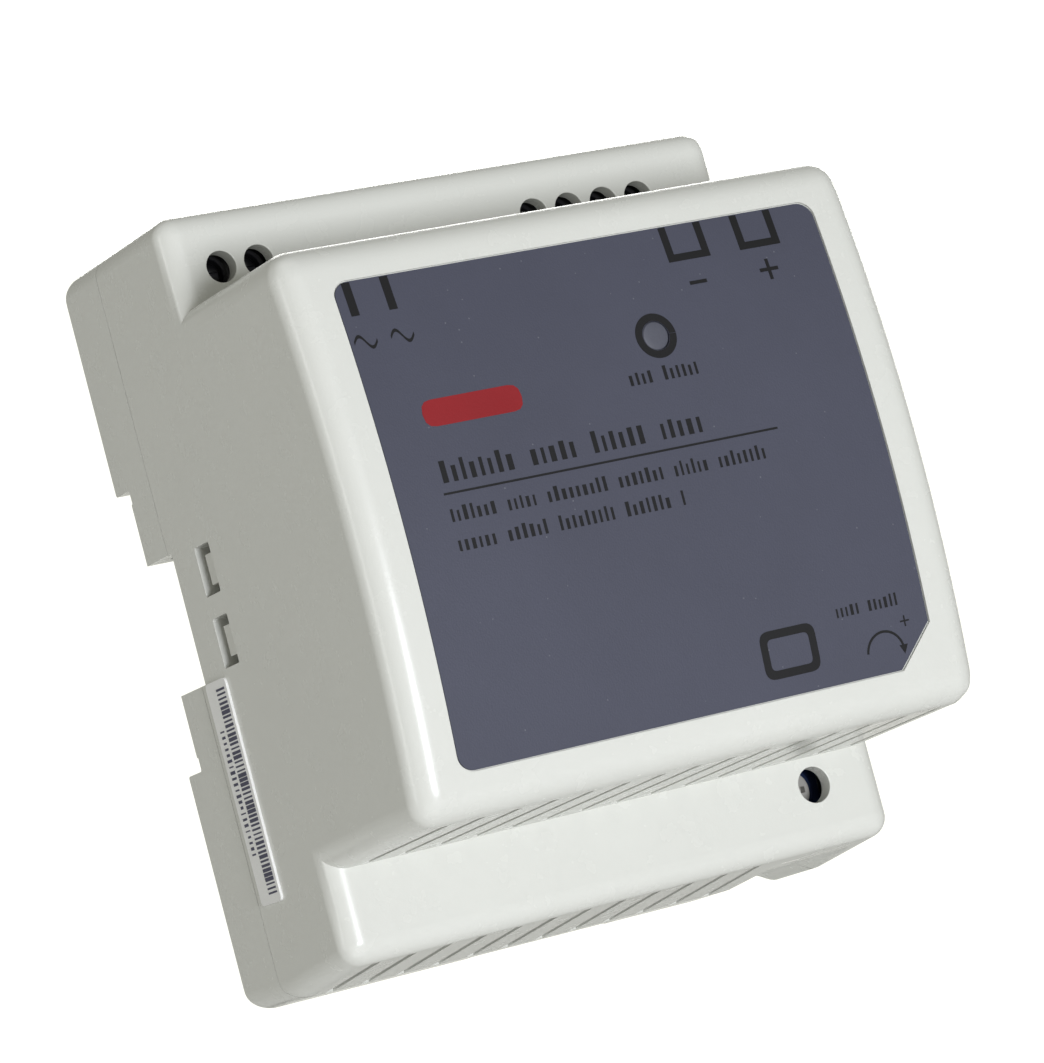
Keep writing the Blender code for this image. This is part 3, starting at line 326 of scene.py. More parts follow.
# %% Inside finishes
ROLLED = (1.0, 1.0, 0.06)
DRAWN = (1, 1, 0.2)
paint_slot("terminal_plastic", "terminal nylon", 0.42, (0.022, 0.022, 0.025), cloud=0.08, relief=0.12)
paint_slot("plated_steel", "plated steel", 0.36, (0.34, 0.34, 0.36), metallic=1.0,
           cloud=0.10, cloud_scale=300.0)
# The terminal screws' steel is painted near-black: this is painted shade, because the real screws sit deeper
# in their wells than these do.
paint_slot("screw_steel", "blackened steel", 0.42, (0.07, 0.07, 0.075), metallic=1.0,
           cloud=0.15, cloud_scale=300.0)
paint_slot("spring_steel", "spring wire", 0.28, (0.50, 0.50, 0.52), metallic=1.0, stretch=DRAWN)
paint_slot("lens_plastic", "lamp window", 0.45, (0.075, 0.078, 0.10), cloud=0.05)
paint_slot("lamp_resin", "lamp resin", 0.18, cloud=0.05, coat=0.6)
paint_slot("film", "insulating film", 0.30, cloud=0.03, relief=0.03)
paint_slot("nylon", "natural nylon", 0.48)
paint_slot("trimmer_blue", "trimmer blue", 0.42, (0.018, 0.035, 0.11))
paint_slot("trimmer_white", "trimmer white", 0.45, (0.34, 0.33, 0.30))
paint_slot("black_epoxy", "moulded epoxy", 0.50, grain_scale=5200.0, relief=0.35)
paint_slot("ferrite", "ferrite", 0.62, cloud=0.14, grain_scale=3400.0, relief=0.45)
paint_slot("capacitor_sleeve", "shrunk sleeve", 0.26, relief=0.05, coat=0.4)
paint_slot("capacitor_case", "yellow case", 0.33, cloud=0.05)
paint_slot("disc_coat_green", "green dip coat", 0.45, cloud=0.2, relief=0.5, grain_scale=900.0)
paint_slot("disc_coat_blue", "blue dip coat", 0.30, cloud=0.08, relief=0.3, grain_scale=700.0)
paint_slot("copper_winding", "enamelled wire", 0.25, metallic=0.85, cloud=0.12, cloud_scale=400.0, coat=0.5)
paint_slot("winding_tape", "winding tape", 0.28, cloud=0.07, relief=0.12, grain_scale=1200.0)
paint_slot("heatsink", "rolled aluminium", 0.34, metallic=1.0, cloud=0.06, stretch=ROLLED,
           grain_scale=5000.0, relief=0.25)
paint_slot("fuse_glass", "fuse glass", 0.10, (0.75, 0.77, 0.77), cloud=0.03, relief=0.02, coat=0.8)
paint_slot("opto_resin", "white epoxy", 0.48, relief=0.2)
print("finishes:", len(finishes))

# %% [markdown]
# A circuit board's green mask lies over copper tracks, which show through as a paler, slightly raised
# green. A pattern of cells, cut at a small distance from their edges, gives broad copper areas with
# thin gaps between them.


# %% Board finish
def board_finish():
    made = finish("board mask", (0.02, 0.13, 0.05), 0.30, cloud=0.06, coat=0.5)
    tree = made.node_tree
    shader = tree.nodes["Principled BSDF"]
    place = add(tree, "ShaderNodeTexCoord").outputs["Object"]
    cells = add(tree, "ShaderNodeTexVoronoi", Scale=150.0, feature="DISTANCE_TO_EDGE", Randomness=0.9)
    tree.links.new(place, cells.inputs["Vector"])
    gap = add(tree, "ShaderNodeMath", operation="GREATER_THAN")
    gap.inputs[1].default_value = 0.06
    tree.links.new(cells.outputs["Distance"], gap.inputs[0])
    tone = two_tone(tree, gap.outputs[0], (0.010, 0.075, 0.030), (0.030, 0.19, 0.075))
    tree.links.new(tone, shader.inputs["Base Color"])
    bump = add(tree, "ShaderNodeBump", Strength=0.5, Distance=0.0001)
    tree.links.new(gap.outputs[0], bump.inputs["Height"])
    tree.links.new(bump.outputs["Normal"], shader.inputs["Normal"])
    return made


finishes["board_laminate"] = board_finish()
print("slots without a finish:", sorted(set(slot_colour) - set(finishes)))

# %% [markdown]
# ## Tools for shapes
# Most pieces here are flat outlines drawn out along one axis, or profiles turned about one. Both are
# a few lines of bmesh. A mould never leaves a razor edge, so outlines get their corners rounded first.

# %% Outlines
AXES = {"X": (1, 2, 0), "Y": (0, 2, 1), "Z": (0, 1, 2)}


def softened(outline, radius, steps=4):
    """The outline with every corner rounded, by less where a side is short."""
    points = [Vector(p) for p in outline]
    rounded = []
    for before, corner, after in zip(points[-1:] + points[:-1], points, points[1:] + points[:1]):
        back, ahead = before - corner, after - corner
        room = min(radius, back.length * 0.45, ahead.length * 0.45)
        start, end = corner + back.normalized() * room, corner + ahead.normalized() * room
        for i in range(steps + 1):
            t = i / steps
            rounded.append(start.lerp(corner, t).lerp(corner.lerp(end, t), t))
    return [tuple(p) for p in rounded]


def rectangle(low, high, radius=0.0, steps=4):
    outline = [(low[0], low[1]), (high[0], low[1]), (high[0], high[1]), (low[0], high[1])]
    return softened(outline, radius, steps) if radius else outline


def circle(centre, radius, sides=40):
    turn = 2 * math.pi / sides
    spots = [(math.cos(i * turn), math.sin(i * turn)) for i in range(sides)]
    return [(centre[0] + radius * a, centre[1] + radius * b) for a, b in spots]


def prism(outline, axis, low, high):
    """An outline in the two other axes, drawn out along an axis."""
    bm = bmesh.new()
    first, second, along = AXES[axis]
    ring = []
    for a, b in outline:
        spot = [0.0, 0.0, 0.0]
        spot[first], spot[second], spot[along] = a, b, low
        ring.append(bm.verts.new(spot))
    grown = bmesh.ops.extrude_face_region(bm, geom=[bm.faces.new(ring)])["geom"]
    shift = Vector((0.0, 0.0, 0.0))
    shift[along] = high - low
    bmesh.ops.translate(bm, vec=shift, verts=[v for v in grown if isinstance(v, bmesh.types.BMVert)])
    bmesh.ops.recalc_face_normals(bm, faces=bm.faces)
    return bm


def block(low, high):
    return prism(rectangle(low[1:], high[1:]), "X", low[0], high[0])


def turned(centre, profile, axis="Y", sides=40):
    """A profile of (radius, place along the axis) turned into a closed solid."""
    bm = bmesh.new()
    first, second, along = AXES[axis]
    rings = []
    for radius, reach in profile:
        ring = []
        for a, b in circle(centre, radius, sides):
            spot = [0.0, 0.0, 0.0]
            spot[first], spot[second], spot[along] = a, b, reach
            ring.append(bm.verts.new(spot))
        rings.append(ring)
    for near, far in zip(rings, rings[1:]):
        for i in range(sides):
            j = (i + 1) % sides
            bm.faces.new((near[i], near[j], far[j], far[i]))
    bm.faces.new(rings[0])
    bm.faces.new(rings[-1])
    bmesh.ops.recalc_face_normals(bm, faces=bm.faces)
    return bm


print("outline tools ready")

# %% [markdown]
# A drawn shape becomes an object in metres. Cuts and joins are Boolean modifiers with hidden tools.
# They leave the drawn shapes as they are until to_mesh turns the result into plain mesh and drops them.


# %% Making and cutting pieces
def piece(name, *shapes):
    whole = bmesh.new()
    for shape in shapes:
        copy = bpy.data.meshes.new("copy")
        shape.to_mesh(copy)
        shape.free()
        whole.from_mesh(copy)
        bpy.data.meshes.remove(copy)
    bmesh.ops.scale(whole, vec=(MM, MM, MM), verts=whole.verts)
    mesh = bpy.data.meshes.new(name)
    whole.to_mesh(mesh)
    whole.free()
    made = bpy.data.objects.new(name, mesh)
    bpy.context.scene.collection.objects.link(made)
    return made


def reshape(made, how, tool):
    """Cuts a piece by a tool, joins the tool to it, or keeps what they share."""
    tool.hide_render = True
    modifier = made.modifiers.new(tool.name, "BOOLEAN")
    modifier.operation = how
    modifier.solver = "EXACT"
    modifier.object = tool
    return modifier


def to_mesh(made):
    """Replaces an object's mesh by what its modifiers make, and drops them with their tools."""
    graph = bpy.context.evaluated_depsgraph_get()
    result = bpy.data.meshes.new_from_object(made.evaluated_get(graph), depsgraph=graph)
    tools = [m.object for m in made.modifiers if m.type == "BOOLEAN"]
    made.modifiers.clear()
    made.data = result
    for tool in tools:
        for inner in [m.object for m in tool.modifiers if m.type == "BOOLEAN"]:
            bpy.data.objects.remove(inner)
        bpy.data.objects.remove(tool)
    return made


def cut(made, name, *shapes):
    """Takes shapes out of a piece."""
    reshape(made, "DIFFERENCE", piece(name, *shapes))


def rounded_piece(name, shape, width=0.3, segments=3):
    """A piece whose sharp edges are all bevelled a little, as plain mesh."""
    made = piece(name, shape)
    soft = made.modifiers.new("soft_edges", "BEVEL")
    soft.width = width * MM
    soft.segments = segments
    soft.limit_method = "ANGLE"
    soft.angle_limit = math.radians(40)
    return to_mesh(made)


print("piece tools ready")

# %% [markdown]
# A finished piece has its smooth faces marked, and its large flats get their true normals back, so that
# they shade flat beside rounded edges. Then it is dressed: it gets its material and the body that carries
# it, and the frame nodes that it stands for are hidden.


# %% Settling and dressing pieces
def settle(made, angle):
    """Plain mesh with smooth rounds and flat flats."""
    if made.modifiers:
        to_mesh(made)
    made.data.shade_smooth()
    made.data.set_sharp_from_angle(angle=math.radians(angle))
    weights = made.modifiers.new("flats", "WEIGHTED_NORMAL")
    weights.keep_sharp = True
    return to_mesh(made)


def dress(made, slot, *nodes, body="housing", paint=None, angle=32.0):
    """Settles a piece, gives it its material and its body, and hides the frame nodes that it stands for."""
    settle(made, angle)
    made.data.materials.clear()
    made.data.materials.append(paint or finishes[slot])
    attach(made, body)
    if nodes:
        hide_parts(*nodes)
    print(f"{made.name}: {sum(len(p.vertices) - 2 for p in made.data.polygons)} triangles on {body}")


print("ready to dress pieces")

# %% [markdown]
# ## Rows by Geometry Nodes
# Vent slots, printed bars, component legs and pressed grooves are all rows of small blocks, and coils
# and solder joints follow rules too. Each gets a node tree. These tools begin a tree, end it and run
# it. Realize Instances turns what it made into real geometry, because instances don't survive export.


# %% Node tools
def node_tree(name, sockets):
    """An empty tree with named inputs, an outside way in and a way out."""
    tree = bpy.data.node_groups.new(name, "GeometryNodeTree")
    tree.interface.new_socket("Geometry", in_out="INPUT", socket_type="NodeSocketGeometry")
    for label, kind in sockets:
        tree.interface.new_socket(label, in_out="INPUT", socket_type="NodeSocket" + kind)
    tree.interface.new_socket("Geometry", in_out="OUTPUT", socket_type="NodeSocketGeometry")
    way_in = tree.nodes.new("NodeGroupInput")
    way_out = tree.nodes.new("NodeGroupOutput")
    return tree, way_in, way_out


def finish_tree(tree, geometry, way_in, way_out):
    """Ends a tree as every one here ends: real geometry, then its material."""
    realize = tree.nodes.new("GeometryNodeRealizeInstances")
    paint = tree.nodes.new("GeometryNodeSetMaterial")
    tree.links.new(geometry, realize.inputs["Geometry"])
    tree.links.new(realize.outputs["Geometry"], paint.inputs["Geometry"])
    tree.links.new(way_in.outputs["Material"], paint.inputs["Material"])
    tree.links.new(paint.outputs["Geometry"], way_out.inputs["Geometry"])


def grown(name, tree, **values):
    """A plain mesh object made by a tree with these input values, which are in metres."""
    made = bpy.data.objects.new(name, bpy.data.meshes.new(name))
    bpy.context.scene.collection.objects.link(made)
    modifier = made.modifiers.new(tree.name, "NODES")
    modifier.node_group = tree
    for socket in tree.interface.items_tree:
        label = socket.name.replace(" ", "_")
        if socket.in_out == "INPUT" and label in values:
            modifier[socket.identifier] = values[label]
    return to_mesh(made)


print("node tools ready")

# %% [markdown]
# The row tree sets a block on each point of a line. A block's size is a fixed size plus a random share
# of a spread, from a fixed seed, so printed bars can differ in width while legs stay alike.


# %% Row of blocks
def row_tree():
    sockets = [("Count", "Int"), ("Start", "Vector"), ("Step", "Vector"), ("Size", "Vector"),
               ("Spread", "Vector"), ("Seed", "Int"), ("Material", "Material")]
    tree, way_in, way_out = node_tree("row_of_blocks", sockets)
    line = tree.nodes.new("GeometryNodeMeshLine")
    cube = tree.nodes.new("GeometryNodeMeshCube")
    cube.inputs["Size"].default_value = (1.0, 1.0, 1.0)
    chance = tree.nodes.new("FunctionNodeRandomValue")
    chance.data_type = "FLOAT_VECTOR"
    chance.inputs[0].default_value = (0.0, 0.0, 0.0)
    chance.inputs[1].default_value = (1.0, 1.0, 1.0)
    grow = tree.nodes.new("ShaderNodeVectorMath")
    grow.operation = "MULTIPLY_ADD"
    place = tree.nodes.new("GeometryNodeInstanceOnPoints")
    tree.links.new(way_in.outputs["Count"], line.inputs["Count"])
    tree.links.new(way_in.outputs["Start"], line.inputs["Start Location"])
    tree.links.new(way_in.outputs["Step"], line.inputs["Offset"])
    tree.links.new(way_in.outputs["Seed"], chance.inputs["Seed"])
    tree.links.new(chance.outputs[0], grow.inputs[0])
    tree.links.new(way_in.outputs["Spread"], grow.inputs[1])
    tree.links.new(way_in.outputs["Size"], grow.inputs[2])
    tree.links.new(line.outputs["Mesh"], place.inputs["Points"])
    tree.links.new(cube.outputs["Mesh"], place.inputs["Instance"])
    tree.links.new(grow.outputs[0], place.inputs["Scale"])
    finish_tree(tree, place.outputs["Instances"], way_in, way_out)
    return tree


row_of_blocks = row_tree()


def row(name, count, start, step, size, paint, spread=(0.0, 0.0, 0.0), seed=1):
    in_metres = [tuple(v * MM for v in vector) for vector in (start, step, size, spread)]
    return grown(name, row_of_blocks, Count=count, Start=in_metres[0], Step=in_metres[1],
                 Size=in_metres[2], Spread=in_metres[3], Seed=seed, Material=paint)


print("row tree:", len(row_of_blocks.nodes), "nodes")

# %% [markdown]
# ## Front cover
# The cover is one moulded box with a step above and below its front block. Seen from the side, the
# block's front is a shallow arc, and both undersides rise a little to the front, so that the part
# leaves its mould. The side outline is drawn once, for the outside and the inside alike.

# %% Side outline of the cover
WALL = 2.0
SHELF_REACH = 26.0
BLOCK_TOP = TOP - 11.3
BLOCK_BOTTOM = BOTTOM + 13.0
CROWN = 3.0
BLOCK_REACH = -COVER_LOW.y - CROWN
CROWN_STEPS = 36
REAR_CORNER = 3.0
BLOCK_DRAFT = 1.0
SHELF_DRAFT = 1.9
FRONT_ROUND = 3.3
SHELF_ROUND = 2.6


def front_y(z):
    """The crowned front's place at a height."""
    share = (z - (BLOCK_TOP + BLOCK_BOTTOM) / 2) / ((BLOCK_TOP - BLOCK_BOTTOM) / 2)
    return -(BLOCK_REACH + CROWN * (1 - share * share))


def crown_line(low, high, depth, end=0.0):
    """The crown as points; each end can start with a straight stretch that a rounding needs."""
    span = high - low - 2 * end
    heights = [low + end + span * i / CROWN_STEPS for i in range(CROWN_STEPS + 1)]
    if end:
        heights = [low, *heights, high]
    return [(front_y(z) + depth, z) for z in heights]


def corner_arc(centre, radius, start, end, steps=8):
    angles = [math.radians(start + (end - start) * i / steps) for i in range(steps + 1)]
    return [(centre[0] + radius * math.cos(a), centre[1] + radius * math.sin(a)) for a in angles]


def cover_outline(inset, rear):
    """(y, z) side outline, drawn in by a wall's thickness; both undersides rise to the front."""
    shelf = -SHELF_REACH + inset
    return (
        [(rear, BOTTOM + inset), (COVER_REAR - REAR_CORNER, BOTTOM + inset)]
        + [(shelf, BOTTOM + SHELF_DRAFT + inset), (shelf, BLOCK_BOTTOM + inset)]
        + crown_line(BLOCK_BOTTOM + BLOCK_DRAFT + inset, BLOCK_TOP - inset, inset, 1.2 * FRONT_ROUND)
        + [(shelf, BLOCK_TOP - inset), (shelf, TOP - inset), (rear, TOP - inset)]
    )


print(f"block from {BLOCK_BOTTOM:.1f} to {BLOCK_TOP:.1f}, crest at {front_y(0):.1f}")

# %% [markdown]
# The outline is pulled across the width and its edges are rounded. One Bevel modifier with weights
# rounds the front's long edges more than the shelves', as on the real moulding. Its own clamping would
# shrink every rounding to suit the shortest edge, so it is off, and the crown's ends are kept long.

# %% Cover body with weighted rounding
ROUNDING_STEPS = 7
SHARP_FOLD = 40
cover = piece("cover_moulding", prism(cover_outline(0.0, COVER_REAR), "X", LEFT, RIGHT))


def weigh_cover_edges(mesh):
    """Bevel weights: 1 on the front block's edges, less on the shelves', none at the rear."""
    bm = bmesh.new()
    bm.from_mesh(mesh)
    weight = bm.edges.layers.float.new("bevel_weight_edge")
    for edge in bm.edges:
        a, b = (v.co / MM for v in edge.verts)
        spot = (a + b) / 2
        fold = math.degrees(edge.calc_face_angle(0.0))
        at_rear = a.y > COVER_REAR - 0.01 and b.y > COVER_REAR - 0.01
        inner = abs(a.y + SHELF_REACH) < 0.01 and abs(b.y + SHELF_REACH) < 0.01
        inner = inner and abs(spot.x) < RIGHT - 0.01 and BLOCK_BOTTOM - 0.01 < spot.z < BLOCK_TOP + 0.01
        if fold < SHARP_FOLD or at_rear or inner:
            continue
        ahead = a.y < -SHELF_REACH - 1 or b.y < -SHELF_REACH - 1
        edge[weight] = 1.0 if ahead else SHELF_ROUND / FRONT_ROUND
    bm.to_mesh(mesh)
    bm.free()


weigh_cover_edges(cover.data)
rounding = cover.modifiers.new("rounding", "BEVEL")
rounding.limit_method = "WEIGHT"
rounding.width = FRONT_ROUND * MM
rounding.segments = ROUNDING_STEPS
rounding.use_clamp_overlap = False
to_mesh(cover)
print("cover blank:", len(cover.data.polygons), "faces")

# %% [markdown]
# The inside is the same outline, one wall smaller. The label sits in a shallow pocket that follows
# the crown: a curved slab gives its depth, and the label's outline gives its edge.

# %% Hollow and label pocket
POCKET_DEPTH = 0.42
LABEL_SINK = 0.14
LABEL_THICKNESS = 0.22
LABEL_CORNER = 2.0
LABEL_CHAMFER = 5.0
POCKET_GAP = 0.16
LABEL_LOW, LABEL_HIGH = corners("front_label")
BEFORE_FRONT, BEHIND_LABEL = COVER_LOW.y - 8, -44.0


def label_outline(grow):
    """(x, z) outline: three rounded corners, and the lower right one cut off."""
    left, right = LABEL_LOW.x - grow, LABEL_HIGH.x + grow
    low, high = LABEL_LOW.z - grow, LABEL_HIGH.z + grow
    r = LABEL_CORNER
    cut = [(right - LABEL_CHAMFER, low), (right, low + LABEL_CHAMFER)]
    arcs = [((right - r, high - r), 0), ((left + r, high - r), 90), ((left + r, low + r), 180)]
    return cut + [p for centre, start in arcs for p in corner_arc(centre, r, start, start + 90)]


def crowned_slab(near, far, margin=1.0):
    """A slab that follows the crown between two depths behind it, a little larger than the label."""
    low, high = LABEL_LOW.z - margin, LABEL_HIGH.z + margin
    outline = crown_line(low, high, near) + crown_line(low, high, far)[::-1]
    return prism(outline, "X", LABEL_LOW.x - margin, LABEL_HIGH.x + margin)


hollow = piece("hollow", prism(cover_outline(WALL, COVER_REAR + 5), "X", LEFT + WALL, RIGHT - WALL))
reshape(cover, "DIFFERENCE", hollow)
pocket = piece("pocket", crowned_slab(-4.0, POCKET_DEPTH))
pocket_edge = prism(label_outline(POCKET_GAP), "Y", BEFORE_FRONT, BEHIND_LABEL)
reshape(pocket, "INTERSECT", piece("pocket_edge", pocket_edge))
to_mesh(pocket)
reshape(cover, "DIFFERENCE", pocket)
to_mesh(cover)
print("cover with pocket:", len(cover.data.polygons), "faces")

# %% [markdown]
# Air goes in and out by rows of thin slots. The same node tree that makes printed bars makes the row
# of cutters: above and below the block, and along the unit's lower edge, behind its rounded corner.

# %% Vent slots
VENT_COUNT = 15
VENT_PITCH, VENT_WIDTH = 4.9, 1.1
FLOOR_VENT_DEPTH, EDGE_VENT_DEPTH = 5.0, 5.4
BLOCK_VENT_REACH = (-(BLOCK_REACH - 3.5), -(SHELF_REACH + 1.0))
LOWER_VENT_COUNT = 12
LOWER_VENT_REACH = (-SHELF_REACH + 2.7, COVER_REAR - REAR_CORNER)
first_vent = -(VENT_COUNT - 1) / 2 * VENT_PITCH
plain = finishes["housing_plastic"]


def vent_row(name, count, height, deep, reach):
    size = (VENT_WIDTH, reach[1] - reach[0], deep)
    start = (first_vent, sum(reach) / 2, height)
    return row(name, count, start, (VENT_PITCH, 0, 0), size, plain)


for tool in (
    vent_row("block_floor_vents", VENT_COUNT, BLOCK_BOTTOM + 1.3, FLOOR_VENT_DEPTH, BLOCK_VENT_REACH),
    vent_row("block_roof_vents", VENT_COUNT, BLOCK_TOP - WALL / 2, 2 * WALL, BLOCK_VENT_REACH),
    vent_row("lower_edge_vents", LOWER_VENT_COUNT, BOTTOM + 1.6, EDGE_VENT_DEPTH, LOWER_VENT_REACH),
):
    reshape(cover, "DIFFERENCE", tool)
to_mesh(cover)
print("vents:", 2 * VENT_COUNT + LOWER_VENT_COUNT, "slots,", len(cover.data.polygons), "faces")

# %% [markdown]
# Round holes let a screwdriver reach the terminal screws and the trimmer. A moulded hole has a soft
# lip, so each cutter is turned with a small flare. Wires enter by two slots in the top, and the
# snap windows are rectangles with rounded corners.

# %% Openings
ACCESS_RADIUS = 1.95
TRIM_RADIUS = 2.25
LAMP_RADIUS = 2.1
HOLE_LIP = 0.12
SCREWS = [f"input_screw_{i}" for i in (1, 2)] + [f"output_screw_{i}" for i in (1, 2, 3, 4)]
WINDOW_LOW, WINDOW_HIGH = -17.8, -13.7
WINDOW_HALF = 3.05
WINDOW_CENTRES = (4.4, -4.4)
WIRE_ENTRY = (3.5, 1.8)


def flared(node, radius, face):
    """A cutter for a round hole in a wall whose outer face is at y = face."""
    spot = middle(node)
    bends = [i * math.pi / 10 for i in range(6)]
    curve = [(HOLE_LIP * (1 - math.sin(a)), HOLE_LIP * (1 - math.cos(a))) for a in bends]
    profile = [(radius + HOLE_LIP, face - 2)] + [(radius + out, face + back) for out, back in curve]
    return turned((spot.x, spot.z), profile + [(radius, face + WALL + 1.5)])


holes = [flared(node, ACCESS_RADIUS, -SHELF_REACH) for node in SCREWS]
holes.append(flared("trim_rotor", TRIM_RADIUS, -SHELF_REACH))
lamp = middle("led_window")
lamp_face = front_y(lamp.z)
holes.append(prism(circle((lamp.x, lamp.z), LAMP_RADIUS), "Y", lamp_face - 2, lamp_face + WALL + 2))
for z in WINDOW_CENTRES:
    window = rectangle((WINDOW_LOW, z - WINDOW_HALF), (WINDOW_HIGH, z + WINDOW_HALF), 0.3)
    holes += [prism(window, "X", side - WALL - 1, side + WALL + 1) for side in (LEFT, RIGHT)]
for node in ("input_terminal", "output_terminal"):
    low, high = corners(node)
    entry = rectangle((low.x + 0.3, low.y + WIRE_ENTRY[0]), (high.x - 0.3, high.y - WIRE_ENTRY[1]), 0.6)
    holes.append(prism(entry, "Z", TOP - WALL - 1, TOP + 1))
cut(cover, "openings", *holes)
print("openings:", len(holes))

# %% [markdown]
# The lower edge is hollowed at its right, and the rear corner of the cover is rounded off, where the
# base fills in behind it. Notches in both sides leave room to press the snap arms. All are cutters.

# %% Hollow under the right, heel and side notches
SCOOP_LEFT, SCOOP_RIGHT, SCOOP_RISE = 23.3, 36.2, 1.3
NOTCH_HALF = 8.2
NOTCH_DEPTH = 1.1
HEEL = (COVER_REAR - REAR_CORNER, BOTTOM + REAR_CORNER)


def scoop(front, back):
    """The shallow hollow under the unit's lower right, behind the front's rounded edge."""
    roof = BOTTOM + SCOOP_RISE
    outline = softened([(SCOOP_LEFT - 1, BOTTOM - 1), (SCOOP_LEFT + 1.0, roof), (SCOOP_RIGHT - 1.0, roof),
                        (SCOOP_RIGHT + 1, BOTTOM - 1)], 0.8)
    return prism(outline, "Y", front, back)


notch_front = COVER_REAR - NOTCH_DEPTH
notches = [
    block((side - WALL - 1, notch_front, -NOTCH_HALF), (side + WALL + 1, COVER_REAR + 1, NOTCH_HALF))
    for side in (LEFT, RIGHT)
]
behind_heel = corner_arc(HEEL, REAR_CORNER, 0, -90)
behind_heel += [(HEEL[0], BOTTOM - 1), (COVER_REAR + 1, BOTTOM - 1), (COVER_REAR + 1, HEEL[1])]
cut(cover, "scoop", scoop(-SHELF_REACH + 2.4, COVER_REAR + 1))
cut(cover, "heel_and_notches", prism(behind_heel, "X", LEFT - 1, RIGHT + 1), *notches)
dress(cover, "housing_plastic", "front_cover")

# %% [markdown]
# ## Label and its print
# The film follows the crown, just below the pocket's edge. It could be a flat sheet bent by a modifier,
# but the slab that cut the pocket already has the right curve, so the label is cut from another one.

# %% Label film
label = piece("label_sheet", crowned_slab(LABEL_SINK, LABEL_SINK + LABEL_THICKNESS))
label_edge = prism(label_outline(0.0), "Y", BEFORE_FRONT, BEHIND_LABEL)
reshape(label, "INTERSECT", piece("label_edge", label_edge))
cut(label, "lamp_hole", prism(circle((lamp.x, lamp.z), LAMP_RADIUS - 0.3), "Y", -60, -48))
dress(label, "label_film", "front_label")

# %% [markdown]
# The print is real geometry a few hundredths of a millimetre proud, so it stays crisp at any distance.
# Every mark is a thin prism whose front and back points are then laid on the crown.

# %% Print marks
INK_LIFT = 0.03
INK_SINK = 0.06


def printed(outline):
    """A thin solid of ink on the label, which follows the crown at each of its points."""
    bm = prism(outline, "Y", -1.0, 1.0)
    for v in bm.verts:
        face = front_y(v.co.z) + LABEL_SINK
        v.co.y = face - INK_LIFT if v.co.y < 0 else face + INK_SINK
    bmesh.ops.recalc_face_normals(bm, faces=bm.faces)
    return bm


def bar(low, high, radius=0.0):
    return printed(rectangle(low, high, radius, 3))


def ring(centre, outer, inner, start, end, steps):
    """A printed ring or arc, as one closed band of short pieces."""
    angles = [math.radians(start + (end - start) * i / steps) for i in range(steps + 1)]
    out = [(centre[0] + outer * math.cos(a), centre[1] + outer * math.sin(a)) for a in angles]
    back = [(centre[0] + inner * math.cos(a), centre[1] + inner * math.sin(a)) for a in angles]
    return printed(out + back[::-1])


def sign(centre, size, stroke, plus):
    """A minus sign, or a plus sign as one cross-shaped outline."""
    x, z = centre
    h, s = size / 2, stroke / 2
    if not plus:
        return bar((x - h, z - s), (x + h, z + s))
    cross = [(s, h), (-s, h), (-s, s), (-h, s), (-h, -s), (-s, -s),
             (-s, -h), (s, -h), (s, -s), (h, -s), (h, s), (s, s)]
    return printed([(x + a, z + b) for a, b in cross])


def wave(centre, width, swing, stroke, steps=24):
    """The alternating current sign: one full wave as a closed band."""
    spots = [(i / steps - 0.5) * width for i in range(steps + 1)]
    rise = [swing * math.sin(-2 * math.pi * x / width) for x in spots]
    top = [(centre[0] + x, centre[1] + r + stroke / 2) for x, r in zip(spots, rise)]
    low = [(centre[0] + x, centre[1] + r - stroke / 2) for x, r in zip(spots, rise)]
    return printed(top + low[::-1])


print("print tools ready")

# %% [markdown]
# The print says nothing. It has only signs that any terminal might carry, brackets that point up to
# the screws, a ring round the lamp, an outlined rectangle, an arrow for the trimmer and a red bar.

# %% Signs, brackets and lamp ring
BRACKET_DROP, BRACKET_STROKE, SIGN_DROP = 4.5, 1.0, 7.4
edge = LABEL_HIGH.z
marks = [bar((x - 0.55, edge - 4.2), (x + 0.55, edge - 0.1)) for x in (-31.2, -26.2)]
marks += [wave((x, edge - SIGN_DROP), 3.0, 0.75, 0.42) for x in (-31.0, -26.2)]
for left, right in ((11.3, 17.2), (21.4, 27.2)):
    inner_left, inner_right = left + BRACKET_STROKE, right - BRACKET_STROKE
    top, foot, inner_foot = edge - 0.1, edge - BRACKET_DROP, edge - BRACKET_DROP + 0.9
    marks.append(printed([(left, top), (left, foot), (right, foot), (right, top), (inner_right, top),
                          (inner_right, inner_foot), (inner_left, inner_foot), (inner_left, top)]))
marks.append(sign((14.3, edge - SIGN_DROP), 2.4, 0.45, False))
marks.append(sign((24.4, edge - SIGN_DROP), 2.6, 0.45, True))
marks.append(ring((lamp.x, lamp.z), 2.75, 1.82, 0.0, 359.0, 60))
marks.append(bar((-27.0, 2.42), (18.8, 2.68)))
outer = rectangle((9.2, -26.3), (17.0, -20.6), 1.4, 5)
inner = rectangle((10.2, -25.3), (16.0, -21.6), 0.7, 5)
marks.append(printed(outer + outer[:1] + inner[:1] + inner[::-1]))
dial = (26.3, -26.2)
marks.append(ring(dial, 2.75, 2.45, 8.0, 172.0, 24))
marks.append(printed([(dial[0] + a, dial[1] + b) for a, b in ((2.0, 0.6), (3.2, 0.6), (2.6, -0.5))]))
marks.append(sign((29.7, -22.9), 1.3, 0.2, True))
dress(piece("label_signs", *marks), "label_film", paint=black_ink)
dress(piece("label_accent", bar((-26.8, 10.4), (-13.6, 13.6), 1.5)), "label_film", paint=red_ink)

# %% [markdown]
# Lines of text are rows of little upright ticks, grouped into words. Word lengths and tick heights
# come from a seeded random stream, so the rhythm is that of text while nothing can be read.


